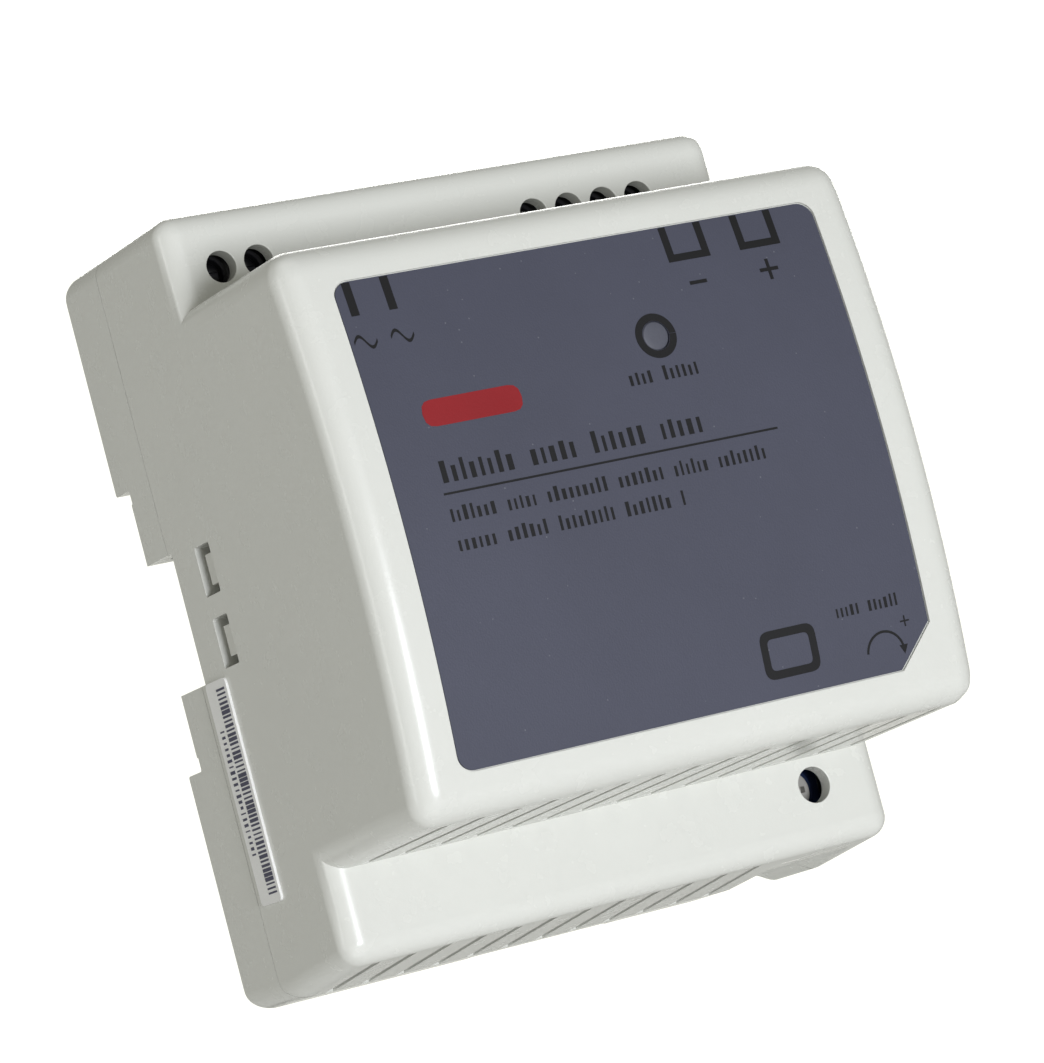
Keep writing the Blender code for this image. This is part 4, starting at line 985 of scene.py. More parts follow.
# %% Ticks in place of text
def ticked_line(start, end, base, height, gap, seed, words=(4, 9)):
    """Ticks between two x places, grouped into words, on one line."""
    chance = random.Random(seed)
    ticks = []
    x = start
    while x < end:
        for _ in range(chance.randint(*words)):
            width = height * chance.uniform(0.16, 0.30)
            if x + width > end:
                break
            tall = height * chance.choice((0.72, 0.72, 0.85, 1.0))
            ticks.append(bar((x, base), (x + width, base + tall)))
            x += width + height * gap
        x += height * 0.7
    return ticks


ticks = ticked_line(-26.6, 10.2, 3.8, 2.6, 0.26, 11, (5, 8))
for start, end, base, height, seed in (
    (-26.8, 18.0, -0.75, 1.75, 12), (-26.8, 3.8, -4.2, 1.75, 13),
    (1.0, 11.2, lamp.z - 5.4, 1.75, 14), (20.5, 30.0, -20.9, 1.5, 15),
):
    ticks += ticked_line(start, end, base, height, 0.28, seed)
dress(piece("label_text_rows", *ticks), "label_film", paint=black_ink)

# %% [markdown]
# ## Side sticker
# A paper sticker with a bar pattern sits low on the left side. The bars are a node-tree row whose
# widths vary at random, so they carry no code.

# %% Sticker
STICKER_LOW, STICKER_HIGH = corners("side_sticker")
paper_low, paper_high = STICKER_LOW.x + 0.12, LEFT - 0.005
sticker_face = rectangle(STICKER_LOW.yz, STICKER_HIGH.yz, 0.7)
sheet = piece("sticker_sheet", prism(sticker_face, "X", paper_low, paper_high))
dress(sheet, "sticker_paper", "side_sticker")
bars_x, bars_y = paper_low - 0.01, STICKER_LOW.y + 1.75
BAR_COUNT = 46
bar_step = (STICKER_HIGH.z - STICKER_LOW.z - 2.4) / (BAR_COUNT - 1)
bars = row("sticker_bars", BAR_COUNT, (bars_x, bars_y, STICKER_LOW.z + 1.2), (0, 0, bar_step),
           (0.05, 2.3, 0.16), bar_ink, (0, 0, 0.34), 7)
dress(bars, "sticker_paper", paint=bar_ink)
digits = row("sticker_row", 22, (bars_x, bars_y + 2.35, STICKER_LOW.z + 6.2), (0, 0, 0.72),
             (0.05, 0.7, 0.14), bar_ink, (0, 0.7, 0.28), 9)
dress(digits, "sticker_paper", paint=bar_ink)

# %% [markdown]
# ## Rear base
# The base closes the cover from behind and hooks onto the rail. Its side outline has the rail's
# notch in it, and its lower front corner is hollowed to follow the cover's rounded heel. What the two
# outlines share, one from the side and one from the front, is a shell with true arcs at its corners.

# %% Base shell
SEAT_HALF = 17.7
RELIEF = 0.3
BASE_WALL = 2.5
BASE_REAR = BASE_HIGH.y
INSIDE_REAR = BASE_REAR - BASE_WALL
BASE_START, FAR_FRONT = -9.2, -12
BACK_CORNER = 3.2
PARTING = COVER_REAR + 0.09
HOOK_OVERLAP = 1.3
step_in = SEAT_HALF - HOOK_OVERLAP - 0.4
lower_notch = [(BASE_REAR, -30), (BASE_REAR, -SEAT_HALF), (-RELIEF, -SEAT_HALF),
               (-RELIEF, -step_in), (0.0, -step_in)]
rail_notch = softened(lower_notch + [(y, -z) for y, z in lower_notch[::-1]], 0.35, 3)
base_side = (
    [(BASE_START, BOTTOM)]
    + corner_arc((BASE_REAR - BACK_CORNER, BOTTOM + BACK_CORNER), BACK_CORNER, -90, 0)
    + rail_notch[4:-4]
    + corner_arc((BASE_REAR - BACK_CORNER, TOP - BACK_CORNER), BACK_CORNER, 0, 90)
    + [(BASE_START, TOP)]
)
inner_step = SEAT_HALF + BASE_WALL
base_inside = [
    (FAR_FRONT, BOTTOM + WALL), (INSIDE_REAR, BOTTOM + WALL), (INSIDE_REAR, -inner_step),
    (-BASE_WALL, -inner_step), (-BASE_WALL, inner_step), (INSIDE_REAR, inner_step),
    (INSIDE_REAR, TOP - WALL), (FAR_FRONT, TOP - WALL),
]


def arc_rectangle(low, high, r):
    """A rectangle whose corners are true arcs."""
    left, right, bottom, top = low[0] + r, high[0] - r, low[1] + r, high[1] - r
    centres = ((right, top), (left, top), (left, bottom), (right, bottom))
    return [p for i, c in enumerate(centres) for p in corner_arc(c, r, 90 * i, 90 * i + 90)]


base = piece("base_moulding", prism(base_side, "X", LEFT - 1, RIGHT + 1))
face_outline = arc_rectangle((LEFT, BOTTOM), (RIGHT, TOP), SHELF_ROUND)
reshape(base, "INTERSECT", piece("base_face", prism(face_outline, "Y", -14, 8)))
to_mesh(base)
cut(base, "base_hollow", prism(base_inside, "X", LEFT + WALL, RIGHT - WALL))
print("base shell drawn")

# %% [markdown]
# The base ends where the cover begins, a hair's breadth behind it, and fills the space behind the
# cover's rounded heel. The cover's side notches and the hollow underneath run on into the base.

# %% Where the base meets the cover
before_heel = (
    [(FAR_FRONT, TOP + 1), (PARTING, TOP + 1)]
    + corner_arc(HEEL, REAR_CORNER + PARTING - COVER_REAR, 0, -90)
    + [(HEEL[0], BOTTOM - 1), (FAR_FRONT, BOTTOM - 1)]
)
side_notches = [
    block((LEFT - 1, FAR_FRONT, -NOTCH_HALF), (LEFT + 4.0, BASE_REAR + 1, NOTCH_HALF)),
    block((RIGHT - 4.0, FAR_FRONT, -NOTCH_HALF), (RIGHT + 1, BASE_REAR + 1, NOTCH_HALF)),
]
cut(base, "cover_side", prism(before_heel, "X", LEFT - 1, RIGHT + 1))
cut(base, "side_notches", *side_notches)
cut(base, "scoop", scoop(FAR_FRONT, BASE_REAR + 1))
to_mesh(base)
print("base shell:", len(base.data.polygons), "faces")

# %% [markdown]
# Two hooks hang over the rail's upper edge. Springy arms reach forward and hold the cover by nibs that
# show in the side windows, and the bosses take the board's screws. All are joined to the shell.

# %% Hooks, arms and bosses
BOARD_SCREWS = [f"board_screw_{i}" for i in (1, 2, 3, 4)]
HOOK_NEAR, HOOK_HALF = 1.3, 6
ARM_OUT, ARM_IN = 34.8, 32.8
NIB_OUT, NIB_REAR, NIB_FRONT = 38.4, -14.9, -17.5
NIB_HALF = 1.85
BOSS_RADIUS = 3.0
FLUSH = BASE_REAR - 0.02
parts = []
for x in (-20.0, 20.0):
    hook_end = SEAT_HALF - HOOK_OVERLAP
    hook = [(HOOK_NEAR, SEAT_HALF + 1), (HOOK_NEAR, hook_end), (FLUSH, hook_end), (FLUSH, SEAT_HALF + 1)]
    parts.append(prism(softened(hook, 0.35, 3), "X", x - HOOK_HALF, x + HOOK_HALF))
for side in (-1, 1):
    for z in WINDOW_CENTRES:
        arm = [(ARM_IN, -1.0), (ARM_OUT, -1.0), (ARM_OUT, NIB_REAR), (NIB_OUT, NIB_REAR),
               (NIB_OUT, NIB_FRONT + 0.6), (NIB_OUT - 0.6, NIB_FRONT), (ARM_IN, NIB_FRONT)]
        arm = [(side * x, y) for x, y in arm]
        parts.append(prism(arm if side > 0 else arm[::-1], "Z", z - NIB_HALF, z + NIB_HALF))
for node in BOARD_SCREWS:
    spot = middle(node)
    boss = [(BOSS_RADIUS, -7.88), (BOSS_RADIUS + 0.2, INSIDE_REAR + 0.8)]
    parts.append(turned((spot.x, spot.z), boss))
for tool in parts:
    reshape(base, "UNION", piece("base_part", tool))
to_mesh(base)
print("joined to the base:", len(parts), "parts")

# %% [markdown]
# Below the rail a channel guides the sliding clip. Two lips hold the clip in, and a post stands in its
# window to carry its spring. Walls come first, the channel is cut through them, and the lips go on last.

# %% Channel for the clip
CHANNEL_FLOOR, CHANNEL_HALF, CHANNEL_WALL_HALF = -2.4, 10.3, 12.3
GUIDE_LIP, LIP_IN = 1.0, 8.7
POST_LOW, POST_HIGH, POST_HALF = -39.6, -37.4, 2.6
walls = block((-CHANNEL_WALL_HALF, CHANNEL_FLOOR - 2, BOTTOM + 0.4),
              (CHANNEL_WALL_HALF, FLUSH, -SEAT_HALF - 0.02))
reshape(base, "UNION", piece("channel_walls", walls))
channel = block((-CHANNEL_HALF, CHANNEL_FLOOR, BOTTOM - 1), (CHANNEL_HALF, BASE_REAR + 1, -SEAT_HALF + 0.3))
cut(base, "channel", channel)
to_mesh(base)
for side in (-1, 1):
    near, far = sorted((side * LIP_IN, side * (CHANNEL_HALF + 1)))
    lip = block((near, BASE_REAR - GUIDE_LIP, BOTTOM + 3.5), (far, FLUSH, -SEAT_HALF - 1.5))
    reshape(base, "UNION", piece("lip", lip))
post_rear = middle("clip_spring").y + 1.6
post = block((-POST_HALF, CHANNEL_FLOOR - 1, POST_LOW), (POST_HALF, post_rear, POST_HIGH))
reshape(base, "UNION", piece("post", post))
for node in BOARD_SCREWS:
    spot = middle(node)
    cut(base, "pilot_hole", turned((spot.x, spot.z), [(1.55, -9), (1.55, 0.0)], sides=24))
dress(base, "housing_plastic", "rear_base")

# %% [markdown]
# ## Rail clip and spring
# The clip is a foot that slides down against its spring when a screwdriver levers on its slot, and
# springs back under the rail's lower edge. A broad plate runs in the channel, and a narrower land
# stands out between the lips.

# %% Clip
CLIP_LOW, CLIP_HIGH = corners("rail_clip")
CLIP_HALF, LAND_HALF, WINDOW_IN_CLIP = 10, 8.4, 3.0
SPRING_POCKET = (-40.2, -24.4)
clip_low, clip_top = CLIP_LOW.z, -SEAT_HALF - 0.3
tooth = HOOK_NEAR + 0.05
clip_side = softened(
    [(0.0, clip_low), (CLIP_HIGH.y, clip_low), (CLIP_HIGH.y, CLIP_HIGH.z), (tooth, CLIP_HIGH.z - 0.05),
     (tooth, clip_top), (0.0, clip_top)], 0.3, 3)
plate = block((-CLIP_HALF, CLIP_LOW.y, clip_low), (CLIP_HALF, BASE_REAR - GUIDE_LIP - 0.3, clip_top))
clip = piece("rail_clip_moulding", plate)
reshape(clip, "UNION", piece("clip_land", prism(clip_side, "X", -LAND_HALF, LAND_HALF)))
spring_pocket = block((-WINDOW_IN_CLIP, -4, SPRING_POCKET[0]), (WINDOW_IN_CLIP, 5, SPRING_POCKET[1]))
cut(clip, "spring_pocket", spring_pocket)
cut(clip, "lever_slot", prism(rectangle((-3.2, -45.6), (3.2, -43.8), 0.5), "Y", 0.6, 5))
dress(clip, "clip_plastic", "rail_clip", body="rail_clip")

# %% [markdown]
# A coil is a spiral curve with a round wire swept along it. One node tree makes the clip's spring and
# the wound components inside, from turns, radius, wire and length. The spring is pressed shorter as
# the clip slides.


# %% Coil by Geometry Nodes
def coil_tree():
    sockets = [("Turns", "Float"), ("Radius", "Float"), ("Wire", "Float"), ("Length", "Float"),
               ("Steps", "Int"), ("Sides", "Int"), ("Material", "Material")]
    tree, way_in, way_out = node_tree("wound_wire", sockets)
    spiral = tree.nodes.new("GeometryNodeCurveSpiral")
    wire = tree.nodes.new("GeometryNodeCurvePrimitiveCircle")
    sweep = tree.nodes.new("GeometryNodeCurveToMesh")
    sweep.inputs["Fill Caps"].default_value = True
    for source, target in (("Turns", "Rotations"), ("Radius", "Start Radius"), ("Radius", "End Radius"),
                           ("Length", "Height"), ("Steps", "Resolution")):
        tree.links.new(way_in.outputs[source], spiral.inputs[target])
    tree.links.new(way_in.outputs["Wire"], wire.inputs["Radius"])
    tree.links.new(way_in.outputs["Sides"], wire.inputs["Resolution"])
    tree.links.new(spiral.outputs["Curve"], sweep.inputs["Curve"])
    tree.links.new(wire.outputs["Curve"], sweep.inputs["Profile Curve"])
    finish_tree(tree, sweep.outputs["Mesh"], way_in, way_out)
    return tree


wound_wire = coil_tree()


def wound(name, base, axis, length, mean_radius, wire, turns, paint, sides=10):
    """A coil of wire from a base point along an axis; sizes in millimetres."""
    made = grown(name, wound_wire, Turns=float(turns), Radius=mean_radius * MM, Wire=wire / 2 * MM,
                 Length=(length - wire) * MM, Steps=28, Sides=sides, Material=paint)
    turn = Vector((0, 0, 1)).rotation_difference(Vector(axis)).to_matrix().to_4x4()
    start = Vector(base) + Vector(axis) * wire / 2
    made.data.transform(Matrix.Translation(start * MM) @ turn)
    return made


spring_low, spring_high = corners("clip_spring")
spring_base = (0.0, (spring_low.y + spring_high.y) / 2, spring_low.z)
spring = wound("clip_spring_wire", spring_base, (0, 0, 1), spring_high.z - spring_low.z, 2.1, 0.6, 7,
               finishes["spring_steel"], 12)
dress(spring, "spring_steel", "clip_spring", angle=40)
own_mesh(spring)

# %% [markdown]
# ## Screw terminals
# Each terminal is a black nylon block with a wire cavity and a screw well for each pole. The cavity
# opens upwards under the wire entry, and the well faces the screwdriver hole in the cover.


# %% Terminal blocks
SCREW_LINE = middle("input_screw_1").z
CAVITY_HALF = 2.1
WELL = [(2.45, -1), (2.45, 0), (2.1, 0.35), (2.1, 2.3), (1.35, 2.3), (1.35, 4.0)]

for group in ("input", "output"):
    low, high = corners(f"{group}_terminal")
    poles = [middle(node).x for node in SCREWS if node.startswith(group)]
    front, rear = low.y + WIRE_ENTRY[0], high.y - WIRE_ENTRY[1]
    made = rounded_piece(f"{group}_terminal_block", block(low, high), 0.4)
    cavities = [block((x - CAVITY_HALF, front, low.z + 1.2), (x + CAVITY_HALF, rear, high.z + 1))
                for x in poles]
    cut(made, "cavities", *cavities)
    cut(made, "wells", *[turned((x, SCREW_LINE), [(r, low.y + deep) for r, deep in WELL]) for x in poles])
    dress(made, "terminal_plastic", f"{group}_terminal")

# %% [markdown]
# A screw is a profile turned round its own axis, with a slot cut in its head. Its thread is a row of
# fine grooves, which looks right at this size and is far lighter than a helix. The screw turns in
# place and draws a plated cage up round the wire.


# %% Terminal screws and clamps
def slotted_screw(name, node, head_radius, head_height, shank_radius, slot_depth, slot_width=0.6):
    """A pan head with a rounded rim, a screwdriver slot and a threaded shank, in a node's box."""
    front, rear, spot = corners(node)[0].y, corners(node)[1].y, middle(node)
    r = head_radius
    neck = front + head_height
    profile = [(r * 0.35, front), (r * 0.72, front + 0.05), (r * 0.9, front + 0.2), (r, front + 0.5),
               (r, neck - 0.1), (r - 0.1, neck), (shank_radius, neck)]
    reach = neck + 0.3
    while reach < rear - 0.5:
        profile += [(shank_radius, reach), (shank_radius - 0.14, reach + 0.18), (shank_radius, reach + 0.36)]
        reach += 0.45
    profile += [(shank_radius, rear - 0.25), (shank_radius - 0.25, rear)]
    made = piece(name, turned((spot.x, spot.z), profile, "Y", 36))
    slot_low = (spot.x - r - 1, front - 1, spot.z - slot_width / 2)
    slot_high = (spot.x + r + 1, front + slot_depth, spot.z + slot_width / 2)
    cut(made, "driver_slot", block(slot_low, slot_high))
    return made


for node in SCREWS:
    made = slotted_screw(node + "_steel", node, 1.8, 1.8, 1.05, 0.8)
    # The terminal screws take the near-black steel, which is painted shade for their wells.
    dress(made, "plated_steel", node, body=node, paint=finishes["screw_steel"])
    spot = middle(node)
    clamp = node.replace("screw", "clamp")
    low, high = corners(clamp)
    cage = rounded_piece(clamp + "_cage", block(low, high), 0.25)
    mouth = rectangle((low.x + 0.4, low.y + 0.9), (high.x - 0.4, high.y - 0.9), 0.3)
    cut(cage, "mouth", prism(mouth, "Z", low.z - 1, high.z + 1))
    cut(cage, "thread", prism(circle((spot.x, spot.z), 1.35), "Y", low.y - 1, low.y + 1.4))
    dress(cage, "plated_steel", clamp, body=clamp)

# %% [markdown]
# ## Lamp and trimmer
# The lamp shows through a small grey window in the label. Behind the lower right hole sits the output
# trimmer: a square blue body and a pale rotor with a screwdriver slot, which turns.

# %% Lamp window, lamp and trimmer
low, high = corners("led_window")
r = (high.x - low.x) / 2
dome = [(r * 0.4, low.y), (r * 0.75, low.y + 0.02), (r * 0.92, low.y + 0.08), (r, low.y + 0.25), (r, high.y)]
dress(piece("lamp_window", turned((lamp.x, lamp.z), dome, "Y", 48)), "lens_plastic", "led_window")

low, high = corners("status_led")
r = 1.5
bulb = [(r * math.sin(a), low.y + r * (1 - math.cos(a))) for a in (0.2, 0.5, 0.8, 1.1, 1.35, math.pi / 2)]
bulb += [(r, high.y - 1.0), (r + 0.35, high.y - 0.95), (r + 0.35, high.y)]
dress(piece("lamp_bulb", turned((lamp.x, lamp.z), bulb, "Y", 40)), "lamp_resin", "status_led")

low, high = corners("trim_body")
trim = middle("trim_rotor")
trimmer = rounded_piece("trimmer_body", block(low, high), 0.4)
well = [(3.3, low.y - 1), (3.3, low.y), (3.0, low.y + 0.3), (3.0, low.y + 3.0)]
cut(trimmer, "trimmer_well", turned((trim.x, trim.z), well))
dress(trimmer, "trimmer_blue", "trim_body")

low, high = corners("trim_rotor")
disc = [(2.2, low.y), (2.55, low.y + 0.1), (2.7, low.y + 0.4), (2.7, high.y)]
rotor = piece("trimmer_rotor", turned((trim.x, trim.z), disc, "Y", 48))
blade = rectangle((trim.x - 1.9, trim.z - 0.4), (trim.x + 1.9, trim.z + 0.4), 0.2)
cut(rotor, "rotor_slot", prism(blade, "Y", low.y - 1, low.y + 1.0))
dress(rotor, "trimmer_white", "trim_rotor", body="trim_rotor")

# %% [markdown]
# ## Inside: board and its screws
# None of this shows until the cover comes off, but it is what the unit is. The board has rounded
# corners, notches for the base's arms and holes for its screws.

# %% Board
BOARD_LOW, BOARD_HIGH = corners("main_board")
ON_BOARD = BOARD_LOW.y - 0.3
ARM_MIDDLE, ARM_ROOM = 34.55, 2.05
outline = rectangle((BOARD_LOW.x, BOARD_LOW.z), (BOARD_HIGH.x, BOARD_HIGH.z), 1.2)
board = piece("board_sheet", prism(outline, "Y", BOARD_LOW.y, BOARD_HIGH.y))
notches = [
    block((side * ARM_MIDDLE - ARM_ROOM, -12, -NOTCH_HALF), (side * ARM_MIDDLE + ARM_ROOM, 0, NOTCH_HALF))
    for side in (-1, 1)
]
cut(board, "arm_notches", *notches)
for node in BOARD_SCREWS:
    spot = middle(node)
    cut(board, "screw_hole", prism(circle((spot.x, spot.z), 1.55, 28), "Y", -12, 0))
dress(board, "board_laminate", "main_board")

# %% [markdown]
# Solder joints are about a hundred small cones on the board's rear. A node tree lays them on a grid
# and keeps a share by a seeded chance, which gives the even yet broken pattern of a real board.


# %% Solder joints
def solder_tree():
    sockets = [("Size X", "Float"), ("Size Z", "Float"), ("Across", "Int"), ("Up", "Int"), ("Share", "Float"),
               ("Seed", "Int"), ("Radius", "Float"), ("Height", "Float"), ("Material", "Material")]
    tree, way_in, way_out = node_tree("solder_joints", sockets)
    grid = tree.nodes.new("GeometryNodeMeshGrid")
    chance = tree.nodes.new("FunctionNodeRandomValue")
    chance.data_type = "BOOLEAN"
    cone = tree.nodes.new("GeometryNodeMeshCone")
    cone.inputs["Vertices"].default_value = 12
    cone.inputs["Radius Top"].default_value = 0.0002
    place = tree.nodes.new("GeometryNodeInstanceOnPoints")
    for source, node, target in (
        ("Size X", grid, "Size X"), ("Size Z", grid, "Size Y"), ("Across", grid, "Vertices X"),
        ("Up", grid, "Vertices Y"), ("Share", chance, "Probability"), ("Seed", chance, "Seed"),
        ("Radius", cone, "Radius Bottom"), ("Height", cone, "Depth"),
    ):
        tree.links.new(way_in.outputs[source], node.inputs[target])
    tree.links.new(grid.outputs["Mesh"], place.inputs["Points"])
    tree.links.new(cone.outputs["Mesh"], place.inputs["Instance"])
    tree.links.new(chance.outputs[3], place.inputs["Selection"])
    finish_tree(tree, place.outputs["Instances"], way_in, way_out)
    return tree


joints = grown("solder_points", solder_tree(), Size_X=0.058, Size_Z=0.074, Across=20, Up=25,
               Share=0.2, Seed=5, Radius=0.0007, Height=0.0008, Material=finishes["plated_steel"])
centre = (BOARD_LOW + BOARD_HIGH) / 2
turn = Matrix.Rotation(math.radians(-90), 4, "X")
joints.data.transform(Matrix.Translation(Vector((centre.x, BOARD_HIGH.y, centre.z)) * MM) @ turn)
dress(joints, "plated_steel")

# %% [markdown]
# Four pan head screws hold the board to the base's bosses. They are the terminal screw's shape with
# other sizes, and each fills its own node's box.

# %% Board screws
for node in BOARD_SCREWS:
    low, high = corners(node)
    made = slotted_screw(node + "_steel", node, (high.x - low.x) / 2, 2.0, 1.25, 0.9)
    dress(made, "plated_steel", node)

# %% [markdown]
# ## Inside: wound parts
# The choke and the output inductor show their enamelled wire, so they are coils from the node tree,
# each on a bobbin or a ferrite drum.


# %% Choke and output inductor
def simple(node, shape, slot, width, name):
    """A rounded piece in place of a frame node, with that slot's finish."""
    dress(rounded_piece(name, shape, width), slot, node)


low, high = corners("choke_core")
core = rounded_piece("choke_ferrite", block(low, high), 0.5)
opening = rectangle((low.x + 2.6, low.y + 4.0), (high.x - 2.6, high.y - 4.0), 0.6)
cut(core, "choke_opening", prism(opening, "Z", low.z - 1, high.z + 1))
dress(core, "ferrite", "choke_core")
low, high = corners("choke_winding")
spot = (low + high) / 2
bobbin = turned((spot.x, spot.y), [(2.6, low.z), (2.6, high.z)], "Z", 32)
simple("choke_winding", bobbin, "nylon", 0.1, "choke_bobbin")
for i, z in enumerate((low.z, high.z - 0.5)):
    flange = turned((spot.x, spot.y), [(3.5, z), (3.5, z + 0.5)], "Z", 32)
    dress(piece(f"choke_flange_{i + 1}", flange), "nylon")
wire = wound("choke_wire", (spot.x, spot.y, low.z + 0.5), (0, 0, 1), high.z - low.z - 1.0, 3.05, 0.75, 11.5,
             finishes["copper_winding"])
dress(wire, "copper_winding", angle=60)

low, high = corners("output_inductor")
spot = (low + high) / 2
drum = [(4.2, low.y), (4.6, low.y + 0.4), (4.6, low.y + 1.4), (3.1, low.y + 1.6), (3.1, high.y - 1.8),
        (4.6, high.y - 1.6), (4.6, high.y)]
made = piece("inductor_drum", turned((spot.x, spot.z), drum, "Y", 48))
dress(made, slot_of["output_inductor"], "output_inductor", paint=finishes["ferrite"])
wire = wound("inductor_wire", (spot.x, low.y + 1.6, spot.z), (0, 1, 0), high.y - low.y - 3.4, 3.55, 0.8, 11.2,
             finishes["copper_winding"])
dress(wire, "copper_winding", angle=60)

# %% [markdown]
# The transformer's wire is hidden under tape. So its coil is a smooth block with two shallow tape
# edges, and a ferrite frame with two windows closes round it.

# %% Transformer
low, high = corners("transformer_core")
spot = (low + high) / 2
yoke = rounded_piece("transformer_ferrite", block(low, high), 0.4)
for side in (-1, 1):
    window_x = spot.x + side * 6.2
    window = rectangle((window_x - 2.6, low.y + 3.5), (window_x + 2.6, high.y - 3.5), 0.3)
    cut(yoke, "ferrite_window", prism(window, "Z", low.z - 1, high.z + 1))
dress(yoke, "ferrite", "transformer_core")
low, high = corners("transformer_coil")
coil = rounded_piece("transformer_tape", block(low, high), 2.0, 6)
cut(coil, "coil_bore", block((spot.x - 3.9, -60, spot.z - 6.3), (spot.x + 3.9, 0, spot.z + 6.3)))
around = rectangle((low.x - 1, low.z - 1), (high.x + 1, high.z + 1))
inside = rectangle((low.x + 0.12, low.z + 0.12), (high.x - 0.12, high.z - 0.12), 2.0)
for y in (low.y + 2.2, high.y - 2.2):
    groove = piece("tape_edge", prism(around, "Y", y - 0.15, y + 0.15))
    cut(groove, "tape_edge_inside", prism(inside, "Y", y - 1, y + 1))
    reshape(coil, "DIFFERENCE", to_mesh(groove))
dress(coil, "winding_tape", "transformer_coil")

# %% [markdown]
# ## Inside: capacitors, packages and heatsinks
# Cans have a rolled groove near the seal, a shrunk sleeve that turns in at the top, and a vent cross
# pressed into the aluminium there. Discs are lens shapes with two legs, made by the row tree.

# %% Cans and discs
for node in ("bulk_capacitor", "output_capacitor_1", "output_capacitor_2"):
    low, high = corners(node)
    spot = (low + high) / 2
    r = (high.x - low.x) / 2
    top_turn = [(r - 1.5, 0.3), (r - 1.4, 0.05), (r - 0.9, 0.0), (r - 0.3, 0.25), (r, 0.9)]
    seal = [(r, 3.2), (r - 0.25, 2.9), (r - 0.6, 2.3), (r - 0.25, 1.7), (r, 1.4), (r, 0.2), (r - 0.2, 0.0)]
    sleeve = [(out, low.y + deep) for out, deep in top_turn] + [(out, high.y - up) for out, up in seal]
    made = piece(node + "_can", turned((spot.x, spot.z), sleeve, "Y", 64))
    for across, up in ((0.15, r - 2.2), (r - 2.2, 0.15)):
        cross = ((spot.x - across, low.y - 1, spot.z - up), (spot.x + across, low.y + 0.5, spot.z + up))
        cut(made, "vent_cross", block(*cross))
    dress(made, slot_of[node], node)
for node in ("inrush_thermistor", "safety_capacitor"):
    low, high = corners(node)
    spot = (low + high) / 2
    r, half = (high.y - low.y) / 2, (high.x - low.x) / 2
    lens_side = [(r * 0.5, -half), (r * 0.8, -half * 0.92), (r * 0.95, -half * 0.65), (r, -half * 0.2)]
    lens_side += [(radius, -x) for radius, x in lens_side[::-1]]
    shape = turned((spot.y, spot.z), [(radius, spot.x + x) for radius, x in lens_side], "X", 48)
    dress(piece(node + "_disc", shape), slot_of[node], node, angle=50)
    legs = row(node + "_legs", 2, (spot.x, (high.y + ON_BOARD) / 2 + 0.3, spot.z - 2.5), (0, 0, 5.0),
               (0.6, ON_BOARD - high.y + 1.2, 0.6), finishes["plated_steel"])
    dress(legs, "plated_steel")

# %% [markdown]
# Power packages stand on one row of legs. The rectifier bridge has four in a line across, and the
# transistor and the output rectifier have three. The line capacitor is a plain moulded box.

# %% Boxes, power packages and their legs
low, high = corners("line_capacitor")
simple("line_capacitor", block(low, high), "capacitor_case", 0.8, "line_capacitor_box")
for node, count in (("bridge_rectifier", 4), ("switch_transistor", 3), ("output_rectifier", 3)):
    low, high = corners(node)
    spot = (low + high) / 2
    simple(node, block(low, high), "black_epoxy", 0.5, node + "_package")
    across = node == "bridge_rectifier"
    span = (high.x - low.x if across else high.z - low.z) - 4.0
    step = span / (count - 1)
    x, z = (spot.x - span / 2, spot.z) if across else (spot.x, spot.z - span / 2)
    along = (step, 0, 0) if across else (0, 0, step)
    pins = row(node + "_pins", count, (x, (high.y + ON_BOARD) / 2, z), along,
               (0.8, ON_BOARD - high.y + 0.3, 0.6), finishes["plated_steel"])
    dress(pins, "plated_steel")

# %% [markdown]
# A small chip is a moulded block with a dimple at its first pin and a row of legs on either side.

# %% Chips and their legs
for node, count in (("control_chip", 4), ("optocoupler", 2)):
    low, high = corners(node)
    body_low, body_high = (low.x + 0.3, low.y, low.z + 0.9), (high.x - 0.3, high.y - 0.5, high.z - 0.9)
    made = rounded_piece(node + "_package", block(body_low, body_high), 0.35)
    dimple = turned((low.x + 1.3, low.z + 1.9), [(0.45, low.y - 1), (0.45, low.y + 0.15)], "Y", 24)
    cut(made, "first_pin_dimple", dimple)
    dress(made, slot_of[node], node)
    step = (high.x - low.x - 1.6) / (count - 1) if count > 2 else 2.54
    first = (low.x + high.x) / 2 - step * (count - 1) / 2
    for side, z in (("low", low.z + 0.5), ("high", high.z - 0.5)):
        pins = row(f"{node}_pins_{side}", count, (first, high.y - 1.1, z), (step, 0, 0), (0.5, 2.2, 0.35),
                   finishes["plated_steel"])
        dress(pins, "plated_steel")

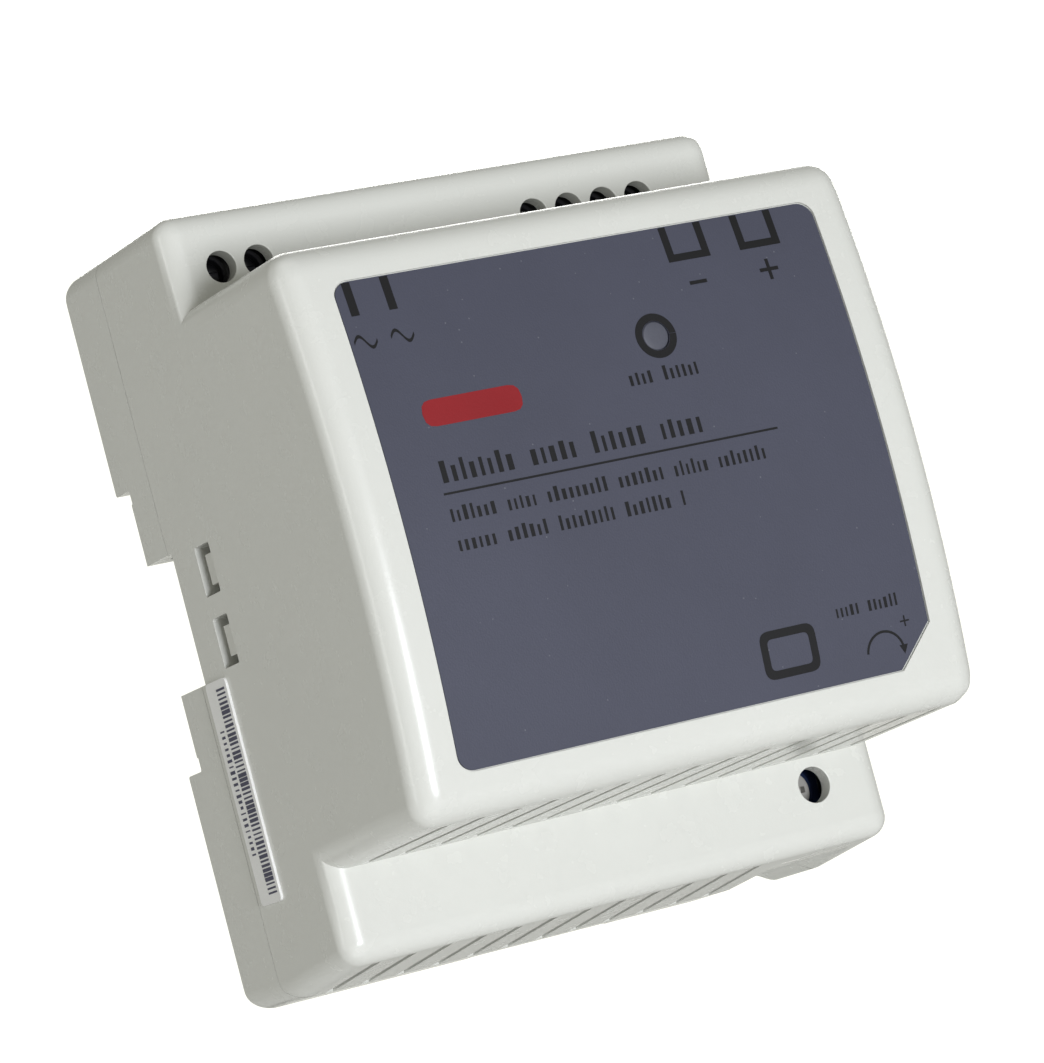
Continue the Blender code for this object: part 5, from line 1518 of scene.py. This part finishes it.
# %% [markdown]
# A heatsink is a rolled plate with two holes and a row of pressed grooves, whose cutters come from the
# row tree. The fuse is a glass tube between two plated caps, and a short post holds the lamp up.

# %% Heatsinks, fuse and lamp spacer
for node in ("primary_heatsink", "secondary_heatsink"):
    low, high = corners(node)
    spot = (low + high) / 2
    made = rounded_piece(node + "_plate", block(low, high), 0.25)
    holes = [prism(circle((spot.y - 8, z), 1.6, 32), "X", low.x - 1, high.x + 1)
             for z in (low.z + 4.0, high.z - 4.0)]
    cut(made, "plate_holes", *holes)
    grooves = row("plate_grooves", 9, (spot.x, low.y + 2.0, spot.z), (0, 1.1, 0),
                  (3.0, 0.35, high.z - low.z - 12.0), finishes["heatsink"])
    reshape(made, "DIFFERENCE", grooves)
    dress(made, "heatsink", node)

low, high = corners("fuse_glass")
fuse = (low + high) / 2
tube = piece("fuse_tube", prism(circle((fuse.y, fuse.z), 2.3, 40), "X", low.x, high.x))
cut(tube, "tube_bore", prism(circle((fuse.y, fuse.z), 1.8, 40), "X", low.x - 1, high.x + 1))
dress(tube, "fuse_glass", "fuse_glass")
for node in ("fuse_cap_1", "fuse_cap_2"):
    low, high = corners(node)
    near_end = [(2.2, low.x), (2.55, low.x + 0.25), (2.6, low.x + 0.6)]
    far_end = [(2.6, high.x - 0.6), (2.55, high.x - 0.25), (2.2, high.x)]
    made = piece(node + "_metal", turned((fuse.y, fuse.z), near_end + far_end, "X", 48))
    dress(made, slot_of[node], node)
low, high = corners("led_spacer")
r = (high.x - low.x) / 2
post = [(r - 0.2, low.y), (r, low.y + 0.2), (r, high.y - 0.2), (r - 0.2, high.y)]
dress(piece("lamp_spacer", turned((lamp.x, lamp.z), post)), slot_of["led_spacer"], "led_spacer")

# %% [markdown]
# ## What stays from the frame
# A frame node that nothing stands for, such as the insulation sheet, is shown as it is, with its
# slot's finish.

# %% Carried-over nodes
kept = []
for node, thing in frame["nodes"].items():
    for place in thing.material_slots:
        place.material = finishes[slot_of[node]]
    if not thing.hide_render:
        kept.append(node)
print("shown as in the frame:", ", ".join(sorted(kept)))
